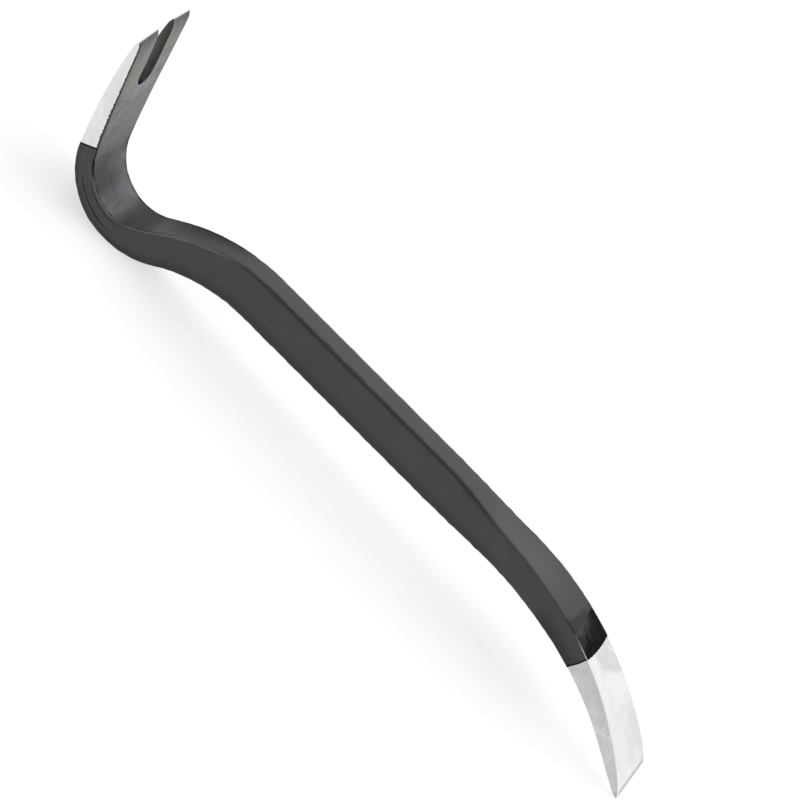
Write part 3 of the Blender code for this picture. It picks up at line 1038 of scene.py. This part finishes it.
@node_group("Height", "Scratches")
def grinding_marks(vector, marks_per_metre):
    """Noise drawn out across the bar, in two slightly crossed sets, and scratches where one is high."""
    first = vector.stretched((1.0, 0.018, 1.0), (0.0, 0.0, 0.10))
    first = first.noise(marks_per_metre, detail=3.0, roughness=0.6)
    second = vector.stretched((1.0, 0.03, 1.0), (0.0, 0.0, -0.28)).noise(marks_per_metre * 0.45)
    return first * 0.65 + second * 0.35, second.ramp(0.62, 0.74)


@node_group("Mask")
def curved_hairlines(vector, lines_per_metre, width):
    """Lines where a broad noise crosses one half, kept in patches of a second noise."""
    away = abs(vector.noise(lines_per_metre, detail=1.0, distortion=0.8) - 0.5)
    kept = vector.noise(lines_per_metre * 1.7, detail=1.0).ramp(0.50, 0.58)
    return [(away / width).ramp(1.0, 0.3) * kept]


# A ragged band along an edge: real wear on some edges, painted highlights and painted shade on others
@node_group("Mask")
def edge_wear(vector, from_edge, reach, patches_per_metre, broken):
    """1 at the edge, and gone at a reach that noise makes shorter by up to the share broken."""
    spread = vector.noise(patches_per_metre, detail=4.0, roughness=0.65).ramp(0.32, 0.68, smooth=False)
    return [((reach * (1.0 - broken * spread) - from_edge) / reach).ramp(0.0, 0.25)]


@node_group("Mask")
def coat_lip(from_end):
    """1 on the coat's very end, and 0 from about a millimetre inside it."""
    return [from_end.ramp(0.00110, 0.00035)]


@node_group("Mask")
def worn_line(vector, from_edge, level):
    """Where the coat is worn down to the steel: a broken line on the near top edge, next to the chisel."""
    along, across = along_across(vector)
    near = across.ramp(-0.0060, -0.0080) * along.ramp(0.2966, 0.3056) * level.ramp(0.0, 0.5)
    return [edge_wear(vector, from_edge, near * 0.00015 + 0.00003, 900.0, 0.55) * near]


@node_group("Height")
def orange_peel(vector, bare):
    """Broad soft bumps with a finer grain in them, and a step down where the coat is worn away."""
    return [vector.noise(900.0, roughness=0.45) + vector.noise(4200.0, detail=1.0) * 0.22 - bare * 1.5]


@node_group("Colour")
def hook_tone(vector):
    """Colour inside the hook, on the steel and on the thin coat alike.

    It has painted shade near one edge and painted light towards the other, is painted lighter further round
    the hook, and has cool painted highlights and dull dark patches; beyond a ragged border it darkens towards
    the neck.
    """
    along, across = along_across(vector)
    smudges = vector.stretched((1.0, 0.7, 1.0)).noise(125.0, detail=4.0, roughness=0.55)
    smudges = smudges.ramp(0.34, 0.66, smooth=False)
    near_half = across.ramp(0.0010, -0.0045) * along.on_band("hook's near half")
    far_half = across.ramp(0.0, 0.0115, smooth=False) * along.on_band("hook's far half")
    beyond = (along + across * 0.05 + (smudges - 0.5) * 0.0022).ramp(0.0775, 0.0845)
    return [painted(
        grey(0.066),
        (cloudy_patches(vector, 95.0).ramp(0.25, 0.75), (0.118, 0.118, 0.121)),
        # painted light: lighter further round the hook
        (along.ramp(0.0680, 0.0780) * 0.45, (0.175, 0.175, 0.178)),
        # painted shade on the near half, painted light on the far half
        (near_half * 0.45, grey(0.022)),
        (far_half * 0.55, (0.215, 0.215, 0.218)),
        # cool painted highlights
        (smudges.ramp(0.30, 0.90) * along.on_band("hook's cool highlights") * 0.50, (0.170, 0.172, 0.198)),
        (smudges.ramp(0.45, 0.05) * 0.30, (0.040, 0.040, 0.038)),
        (beyond * across.ramp(-0.0070, 0.0100, 0.86, 0.50, smooth=False), (0.028, 0.028, 0.027)),
    )]


def along_across(unbent):
    """The two lengths along and across of points on the straight bar."""
    split = add_node(unbent.tree, "ShaderNodeSeparateXYZ", {"Vector": unbent})
    return Value(split["X"]), Value(split["Y"])


def read_places(material, *names):
    """Where a material's points lie on the straight bar, and their named attributes."""
    tree = material.node_tree
    places = [made(tree, "ShaderNodeAttribute", "Fac", attribute_name=name) for name in names]
    return made(tree, "ShaderNodeAttribute", "Vector", attribute_name="unbent"), *places


def new_material(name):
    material = bpy.data.materials.new(name)
    material.use_nodes = True
    tree = material.node_tree
    tree.nodes.clear()
    shader = tree.nodes.new("ShaderNodeBsdfPrincipled")
    surface = tree.nodes.new("ShaderNodeOutputMaterial")
    tree.links.new(shader.outputs["BSDF"], surface.inputs["Surface"])
    return material, shader


def set_shader(shader, **inputs):
    """Sets or joins the shader's inputs, named with _ for each space."""
    for name, value in inputs.items():
        plug(value, shader.inputs[name.replace("_", " ")])


def steel_material(settings):
    """Steel: bright and finely ground on the claw's sides and the chisel, dark inside the claw as forged
    steel and as painted shade.
    """
    material, shader = new_material("ground steel")
    unbent, from_edge, dark, cut, top, level = read_places(
        material, "from_edge", "dark", "cut", "on_top", "level")
    along, across = along_across(unbent)
    turned = unbent.stretched((1.0, 1.0, 1.0), (0.4, 0.2, 0.9))
    height, scratches = grinding_marks(unbent, 2600.0)
    patches, tint = cloudy_patches(unbent, 130.0), cloudy_patches(turned, 75.0)
    hair, scuffs = curved_hairlines(unbent, 75.0, 0.010), curved_hairlines(turned, 140.0, 0.016)
    chisel = along.above(CHISEL_PLACE)
    forged = dark.ramp(0.6, 1.0)
    slot = abs(across).below(SLOT_REACH) * along.below(SLOT_BAND_END)
    rim = edge_wear(unbent, from_edge, 0.00075, 420.0, 0.6)
    nicked = edge_wear(turned, from_edge, 0.00060, 1500.0, 1.0) * slot * forged * along.ramp(0.0220, 0.0180)
    # darker specks along the claw's crease between side and inner face
    chip_reach = along.ramp(0.0120, 0.0400, 0.00068, 0.00112, smooth=False)
    chips = edge_wear(unbent, from_edge, chip_reach, 1100.0, 0.72)
    outer = along.ramp(0.066, 0.058) * (1.0 - slot) * level.ramp(0.62, 0.88)
    ground = painted(
        (0.475, 0.475, 0.460),
        (patches, (0.675, 0.668, 0.658)),
        (level.ramp(-0.2, 0.9) * 0.35, (0.46, 0.455, 0.44)),
        (hair * 0.45, (0.84, 0.83, 0.82)),
        (scuffs * 0.30, (0.42, 0.40, 0.39)),
    )
    wall = painted(
        (0.036, 0.036, 0.028),
        (along.ramp(0.0020, 0.0170), (0.076, 0.075, 0.074)),
        (along.ramp(0.0208, 0.0228), (0.082, 0.086, 0.102)),
    )
    colour = painted(
        bright_tone(settings, unbent, chisel, scratches, patches, tint, hair, scuffs),
        (dark.ramp(0.0, 0.5), ground),
        (forged, forged_tone(settings, unbent, turned, patches, tint)),
        (cut * 0.94, wall),
        (along.ramp(BAR_LENGTH - 0.0027, BAR_LENGTH - 0.0019) * 0.80, (0.45, 0.405, 0.415)),
        # the slot's edges lighter: partly worn bright steel and partly a painted highlight
        (rim * slot * forged * (1.0 - cut) * 0.9, (0.56, 0.56, 0.53)),
        (nicked * 0.8, (0.030, 0.030, 0.026)),
        # darker specks along the claw's crease
        (chips * outer * 0.92, (0.010, 0.010, 0.009)),
        # painted highlight: a white line along the chisel's crease on the top face
        (rim * chisel * top.ramp(0.25, 0.75), WHITE),
    )
    rough = patches * 0.10 + 0.27 + height * 0.08 + forged * 0.10
    normal = (height + patches * 0.8).bumps(0.35, 0.00004)
    set_shader(shader, Base_Color=colour, Roughness=rough, Metallic=1.0, Normal=normal)
    return material


def bright_tone(settings, unbent, chisel, scratches, patches, tint, hair, scuffs):
    """Colour of the ground steel: white with a faint stain, a gleam and a dull end on the chisel's face,
    and greyer and streaked along the bar on the claw's sides."""
    along, across = along_across(unbent)
    slanted = along - (across + 0.0025) * 0.45
    stain = (along.ramp(0.3075, 0.3090) * slanted.ramp(0.3190, 0.3150)
             * across.ramp(-0.0060, -0.0010, 0.0, 0.62) * across.ramp(0.0020, 0.0060, 1.0, 1.18))
    soft = unbent.noise(170.0, detail=1.5).ramp(0.35, 0.65, 0.58, 0.92)
    gleam = unbent.stretched((1.0, 0.40, 1.0)).noise(330.0, detail=1.0, distortion=0.8)
    gleam = (gleam.between(0.50, 0.52, 0.54, 0.56) * across.ramp(0.0, 0.0030)
             * slanted.between(0.3165, 0.3175, 0.3190, 0.3200))
    dull = along.ramp(0.3260, 0.3400) * tint.ramp(0.2, 0.8, 0.35, 0.75)
    dull = dull * across.ramp(-0.0060, 0.0090, 0.75, 1.45)
    streaks = unbent.stretched((0.25, 1.0, 1.0)).noise(420.0, detail=3.0).ramp(0.42, 0.62)
    claw = 1.0 - chisel
    return painted(
        tuple(settings.bright_colour),
        (tint, (0.850, 0.828, 0.835)),
        (chisel * 0.70, (0.975, 0.955, 0.962)),
        (patches.ramp(0.45, 1.0) * 0.30, (0.68, 0.68, 0.685)),
        (scratches * 0.20, grey(0.70)),
        (stain * soft, (0.61, 0.59, 0.605)),
        (gleam * 0.7, WHITE),
        (dull * chisel, (0.79, 0.755, 0.765)),
        (hair * chisel * 0.6, WHITE),
        (scuffs * chisel * 0.30, grey(0.66)),
        (claw * 0.62, (0.700, 0.700, 0.690)),
        (claw * streaks * 0.30, (0.93, 0.93, 0.915)),
    )


def forged_tone(settings, unbent, turned, patches, tint):
    """Colour of the claw's inner face: mottled grey, dark as forged steel and partly as painted shade, with
    cool and olive patches, darker at its sides and tips, and going over into the hook's."""
    along, across = along_across(unbent)
    fine = cloudy_patches(turned, 430.0)
    olive = turned.noise(120.0, detail=3.0, roughness=0.55).ramp(0.40, 0.58)
    olive = olive * along.ramp(0.0280, 0.0200) * along.ramp(0.0030, 0.0090)
    sides = along.ramp(0.0300, 0.0180) * abs(across).ramp(0.0110, 0.0190)
    return painted(
        (0.078, 0.076, 0.070),
        (patches.ramp(0.20, 0.80), (0.262, 0.262, 0.256)),
        (fine.ramp(0.55, 1.0) * 0.40, (0.300, 0.300, 0.295)),
        (fine.ramp(0.40, 0.0) * 0.40, (0.085, 0.085, 0.078)),
        (0.20, tuple(settings.dark_colour)),
        (tint.ramp(0.3, 0.9) * 0.45, (0.150, 0.156, 0.172)),
        (olive * 0.60, (0.222, 0.224, 0.178)),
        (sides * 0.35, (0.085, 0.085, 0.083)),
        (along.ramp(0.0300, 0.0560) * 0.92, hook_tone(unbent)),
        (along.ramp(0.0065, 0.0005) * 0.45, (0.065, 0.065, 0.064)),
    )


def coat_material(settings):
    """Black coat: satin with fine orange peel, thin inside the hook and worn to the steel on one edge.

    Its colour also holds painted shade on the neck, the lower sides and in the creases, and painted
    highlights and reflections on edges and top faces.
    """
    material, shader = new_material("black coat")
    unbent, from_edge, top, level, from_end = read_places(
        material, "from_edge", "on_top", "level", "from_end")
    along, across = along_across(unbent)
    base = tuple(settings.colour)
    patches = cloudy_patches(unbent, 70.0)
    side, upper = top.ramp(0.5, 0.0), level.ramp(0.0, 0.5)
    # painted shade on the neck's top face
    neck = along.on_band("neck") * top
    # painted shade behind the neck, deeper towards the far side
    behind = along.on_band("behind the neck") * across.ramp(-0.0028, 0.0062) * top
    # painted highlight along the shank's far top edge
    far_rim = along.on_band("shank's far rim highlight") * across.ramp(0.0034, 0.0058) * top.ramp(0.1, 0.7)
    uneven = unbent.noise(210.0, detail=3.0).ramp(0.38, 0.62, 0.0008, 0.0024)
    # painted shade: a dark uneven line along the shank's near crease
    crease = along.on_band("shank's crease") * across.ramp(0.0, -0.0030)
    crease = crease * from_edge.ramp(uneven, 0.0004) * level.ramp(0.3, 0.7)
    border = along - (across * 0.170 + 0.2955) + (unbent.noise(130.0) - 0.5) * 0.0040
    # the top face darkest just before the black end's border
    fumes = border.ramp(-0.0016, 0.0010) * top
    beside = from_edge.between(0.0006, 0.0009, 0.0012, 0.0016) * side * upper
    beside = beside * along.on_band("beside the crease")
    inside = along.ramp(0.0920, 0.0800) * top.ramp(0.3, 0.9)
    # painted highlight along the near top edge of the hook and neck
    corner = top.ramp(0.15, 0.55) * from_edge.ramp(0.0015, 0.0006) * across.ramp(0.0, -0.0010)
    corner = corner * along.on_band("corner highlight") * along.ramp(0.0800, 0.0900, 0.60, 0.36)
    # painted shade: dark lines in the parting line's groove and just under the hook's near top edge
    parting = level.between(-0.24, -0.15, -0.10, -0.01) * side * along.on_band("parting line")
    under = from_edge.between(0.0001, 0.0004, 0.0008, 0.0013) * side * level.ramp(0.3, 0.6)
    lines = (parting * 0.95).or_more(under * along.on_band("under the edge") * 0.60)
    # painted shadow: a dark broken line along the hook's near crease
    dark_crease = edge_wear(unbent, from_edge, 0.00048, 500.0, 0.35) * along.on_band("hook's crease") * upper
    # painted highlight: a light broken line along the neck's near top edge
    rubbed = edge_wear(unbent, from_edge, 0.00050, 260.0, 0.55) * along.on_band("neck's edge highlight") * upper
    ends = coat_lip(from_end)
    bare = worn_line(unbent, from_edge, level)
    colour = painted(
        tinted(base, 0.84),
        (patches, tinted(base, 1.16, 1.16, 1.18)),
        # painted shade: the sides darker towards their lower edge
        (side * level.ramp(-0.25, -1.0) * along.on_band("lower side") * 0.75, tinted(base, 0.25)),
        # painted reflection: a cool lighter sheen on the top face towards the chisel
        (along.on_band("cool end") * top * 0.7, tinted(base, 1.15, 1.16, 1.36)),
        # painted shade on the neck's top face
        (neck * 0.70, tinted(base, 0.30)),
        # painted shade behind the neck
        (behind * 0.80, tinted(base, 0.15)),
        # painted highlight along the shank's far top edge
        (far_rim * 0.70, tinted(base, 2.8)),
        # painted shade along the shank's near crease
        (crease * 0.50, tinted(base, 0.20)),
        # painted reflection: the top face lighter near the black end
        (along.on_band("pale end") * top * 0.58, tinted(base, 1.95, 1.95, 2.02)),
        # painted shade: the far half of the top face darker near the chisel
        (along.on_band("end's far half") * across.ramp(-0.0045, 0.0095) * top * 0.52, tinted(base, 0.30)),
        # painted shade: the sides darker towards their lower edge at the chisel's root
        (along.on_band("chisel's root") * side * level.ramp(0.7, -1.0, 0.12, 0.95), tinted(base, 0.15)),
        (border.ramp(-0.0120, 0.0) * top * 0.45, (0.010, 0.010, 0.011)),
        # darkest just before the black end's border
        (fumes * 0.70, (0.008, 0.008, 0.009)),
        (beside * 0.8, tinted(base, 1.7)),
        (inside, hook_tone(unbent)),
        # painted highlight along the near top edge
        (corner, tinted(base, 2.8)),
        # painted shadow along the hook's near crease
        (dark_crease, COAT_SHADE),
        # painted highlight along the neck's near top edge
        (rubbed * 0.85, tinted(base, 3.8)),
        # painted shade in the parting line and under the near edge
        (lines, COAT_SHADE),
        (ends * (1.0 - inside) * 0.95, COAT_SHADE),
        (bare, BARE_STEEL),
    )
    rough = patches.ramp(0.0, 1.0, 0.33, 0.41, smooth=False) + inside * 0.07 - bare * 0.08
    metal = bare.or_more(inside, fumes * 0.60, neck * 0.72, ends * 0.70, behind * 0.85, lines * 0.6)
    normal = orange_peel(unbent, bare).bumps(0.5, settings.peel)
    set_shader(shader, Base_Color=colour, Roughness=rough, Metallic=metal, Normal=normal)
    set_shader(shader, Specular_IOR_Level=0.42)
    return material


def black_end_material(settings):
    """The coat's black end by the chisel, with olive and grey smudges and a pale border."""
    material, shader = new_material("black end")
    unbent, from_edge, level, from_end = read_places(material, "from_edge", "level", "from_end")
    along, across = along_across(unbent)
    smudges = cloudy_patches(unbent, 260.0)
    into = along - (ZONE_PLACE - across * ZONE_SLANT)
    fade = into.ramp(0.0074, 0.0024) * across.ramp(0.0085, -0.0045, 0.20, 1.0)
    olive = painted((0.045, 0.045, 0.041), (smudges.ramp(0.2, 0.8), (0.120, 0.120, 0.108)))
    streak = into.between(-0.0002, 0.0003, 0.0007, 0.0015) * across.ramp(0.0075, -0.0010)
    spots = unbent.noise(330.0, detail=1.5).ramp(0.54, 0.62) * into.ramp(0.0015, 0.0050)
    bare = worn_line(unbent, from_edge, level)
    colour = painted(
        ZONE_BLACK,
        (smudges.ramp(0.35, 0.9), (0.018, 0.018, 0.017)),
        (fade * 0.90, olive),
        (streak * 0.8, (0.105, 0.105, 0.100)),
        (across.ramp(0.0005, 0.0085) * 0.75, ZONE_BLACK),
        (spots * 0.85, grey(0.0005)),
        (coat_lip(from_end) * 0.9, ZONE_BLACK),
        (bare, BARE_STEEL),
    )
    rough = smudges.ramp(0.0, 1.0, 0.26, 0.40, smooth=False)
    normal = orange_peel(unbent, bare).bumps(0.5, settings.peel)
    set_shader(shader, Base_Color=colour, Roughness=rough, Metallic=bare, Normal=normal)
    set_shader(shader, Specular_IOR_Level=0.02)
    return material


def rays(tree, kind):
    """1 for the named kind of ray, and 0 for the others."""
    return made(tree, "ShaderNodeLightPath", f"Is {kind} Ray")


def floor_material(settings):
    """Pale floor: a matt surface whose own faint light shows only to the camera and in reflections."""
    material, shader = new_material("pale floor")
    tree = material.node_tree
    seen = rays(tree, "Camera").or_more(rays(tree, "Glossy"))
    set_shader(shader, Base_Color=tuple(settings.floor_colour), Roughness=0.9, Specular_IOR_Level=0.0,
               Emission_Color=WHITE, Emission_Strength=seen * FLOOR_GLOW)
    return material


def make_world(settings):
    """Even light from all round: full at the horizon, dimmer overhead and in front, white to the camera."""
    world = bpy.data.worlds.new("studio")
    bpy.context.scene.world = world
    world.use_nodes = True
    tree = world.node_tree
    tree.nodes.clear()
    way = made(tree, "ShaderNodeTexCoord", "Generated")
    x, y, z = (Value(socket) for socket in add_node(tree, "ShaderNodeSeparateXYZ", {"Vector": way}))
    glow = z.ramp(0.20, 0.80, 1.0, 0.32) * y.ramp(-0.10, -0.55, 1.0, 1.10) * x.ramp(-0.60, 0.15, 0.75, 1.0)
    share = rays(tree, "Glossy").ramp(0.0, 1.0, settings.sky_strength, 1.0, smooth=False)
    strength = (glow * share).or_more(rays(tree, "Camera"))
    light = made(tree, "ShaderNodeBackground", 0, {"Color": WHITE, "Strength": strength})
    plug(light, tree.nodes.new("ShaderNodeOutputWorld").inputs["Surface"])


def make_camera(settings):
    """The camera that took the picture: aimed at the bar's middle from in front and above, and rolled so
    that the bar lies slanting across the picture."""
    data = bpy.data.cameras.new("camera")
    data.lens = settings.lens
    data.sensor_width = CAMERA_SENSOR
    data.clip_start, data.clip_end = CAMERA_CLIP
    azimuth, elevation, roll = (math.radians(angle) for angle in CAMERA_ANGLES)
    flat = math.cos(elevation)
    forward = Vector((-math.sin(azimuth) * flat, math.cos(azimuth) * flat, -math.sin(elevation)))
    level = forward.cross(Vector((0.0, 0.0, 1.0))).normalized()
    upright = level.cross(forward)
    right = level * math.cos(roll) + upright * math.sin(roll)
    top = upright * math.cos(roll) - level * math.sin(roll)
    camera = place_object("camera", data)
    place = Matrix.Translation(Vector(CAMERA_AIM) - CAMERA_DISTANCE * forward)
    camera.matrix_world = place @ Matrix((right, top, -forward)).transposed().to_4x4()
    bpy.context.scene.camera = camera


def make_lamp(settings):
    """A large soft light above and behind the bar, turned towards it."""
    data = bpy.data.lights.new("key_light", "AREA")
    data.shape = "RECTANGLE"
    data.size, data.size_y = LAMP_SIZE
    data.energy = settings.key_power
    lamp = place_object("key_light", data)
    lamp.location = LAMP_PLACE
    lamp.rotation_euler = (Vector(LAMP_AIM) - Vector(LAMP_PLACE)).to_track_quat("-Z", "Y").to_euler()


class NAILPULLER_OT_steel_bar(bpy.types.Operator):
    """Make the steel bar, with its claw, hook, neck, shank and chisel"""

    bl_idname = "nail_puller.steel_bar"
    bl_label = "Steel Bar"
    bl_options = {"REGISTER", "UNDO"}

    def execute(self, context):
        settings = context.scene.nail_puller_bar
        unbent, faces, values = steel_surface(settings)
        places = crown_shift(pushed(settings, unbent, values, 0.0))
        along = unbent[:, 0]
        chisel_side = smooth_step(*CHISEL_SIDE_TURN, 1 - np.abs(values["normal_up"])) * (along > CHISEL_PLACE)
        inside = values["on_top"] * (along < CLAW_FACE_END)
        attributes = {name: values[name] for name in ("from_edge", "on_top", "level", "cut")}
        attributes["unbent"] = unbent
        attributes["dark"] = np.clip(inside + CHISEL_SIDE_DARK * chisel_side, 0, 1)
        bar = make_object("steel_bar", bend_round(places), faces, attributes, steel_material(settings))
        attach(bar, "root")
        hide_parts("forged_bar")
        return {"FINISHED"}


class NAILPULLER_OT_black_coat(bpy.types.Operator):
    """Make the black coat on the hook, the neck and the shank"""

    bl_idname = "nail_puller.black_coat"
    bl_label = "Black Coat"
    bl_options = {"REGISTER", "UNDO"}

    def execute(self, context):
        settings = context.scene.nail_puller_coat
        unbent, faces, values = coat_surface(settings, context.scene.nail_puller_bar)
        attributes = {name: values[name] for name in ("from_edge", "on_top", "level", "from_end")}
        attributes["unbent"] = unbent
        coat = make_object("coat", bend_round(unbent), faces, attributes, coat_material(settings))
        coat.data.materials.append(black_end_material(settings))
        middles = unbent[faces].mean(axis=1)
        on_top = values["on_top"][faces].mean(axis=1) > ZONE_TOP_SHARE
        beyond = middles[:, 0] > ZONE_PLACE - ZONE_SLANT * middles[:, 1]
        coat.data.polygons.foreach_set("material_index", (on_top & beyond).astype(np.int32))
        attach(coat, "root")
        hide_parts("shank_coat")
        return {"FINISHED"}


class NAILPULLER_OT_stage(bpy.types.Operator):
    """Make the floor, the light and the camera"""

    bl_idname = "nail_puller.stage"
    bl_label = "Stage"
    bl_options = {"REGISTER", "UNDO"}

    def execute(self, context):
        settings = context.scene.nail_puller_stage
        context.scene.view_settings.view_transform = "Standard"
        corners = np.array([(-1, -1, 0), (1, -1, 0), (1, 1, 0), (-1, 1, 0)]) * FLOOR_REACH
        mesh = bpy.data.meshes.new("floor")
        mesh.from_pydata(corners.tolist(), [], [(0, 1, 2, 3)])
        mesh.materials.append(floor_material(settings))
        floor = place_object("floor", mesh)
        floor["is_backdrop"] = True
        make_world(settings)
        make_lamp(settings)
        make_camera(settings)
        return {"FINISHED"}


class VIEW3D_PT_nail_puller(bpy.types.Panel):
    """Steps and settings of the nail puller"""

    bl_label = "Nail Puller"
    bl_idname = "VIEW3D_PT_nail_puller"
    bl_space_type = "VIEW_3D"
    bl_region_type = "UI"
    bl_category = "Nail Puller"

    def draw(self, context):
        layout = self.layout
        layout.use_property_split = True
        for operator, name, _ in STEPS:
            layout.operator(operator)
            settings = getattr(context.scene, name)
            box = layout.box()
            for title in type(settings).__annotations__:
                box.prop(settings, title)


STEPS = (
    ("nail_puller.steel_bar", "nail_puller_bar", BarSettings),
    ("nail_puller.black_coat", "nail_puller_coat", CoatSettings),
    ("nail_puller.stage", "nail_puller_stage", StageSettings),
)
CLASSES = (
    BarSettings,
    CoatSettings,
    StageSettings,
    NAILPULLER_OT_steel_bar,
    NAILPULLER_OT_black_coat,
    NAILPULLER_OT_stage,
    VIEW3D_PT_nail_puller,
)


def register():
    for cls in CLASSES:
        bpy.utils.register_class(cls)
    for _, name, cls in STEPS:
        setattr(bpy.types.Scene, name, PointerProperty(type=cls))


def unregister():
    for _, name, _ in STEPS:
        delattr(bpy.types.Scene, name)
    for cls in reversed(CLASSES):
        bpy.utils.unregister_class(cls)


def main():
    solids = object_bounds()
    register()
    bpy.ops.nail_puller.steel_bar()
    bpy.ops.nail_puller.black_coat()
    bpy.ops.nail_puller.stage()
    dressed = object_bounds()
    sizes = {
        "solids": [list(corner) for corner in solids],
        "dressed": [list(corner) for corner in dressed],
    }


if __name__ == "__main__":
    main()
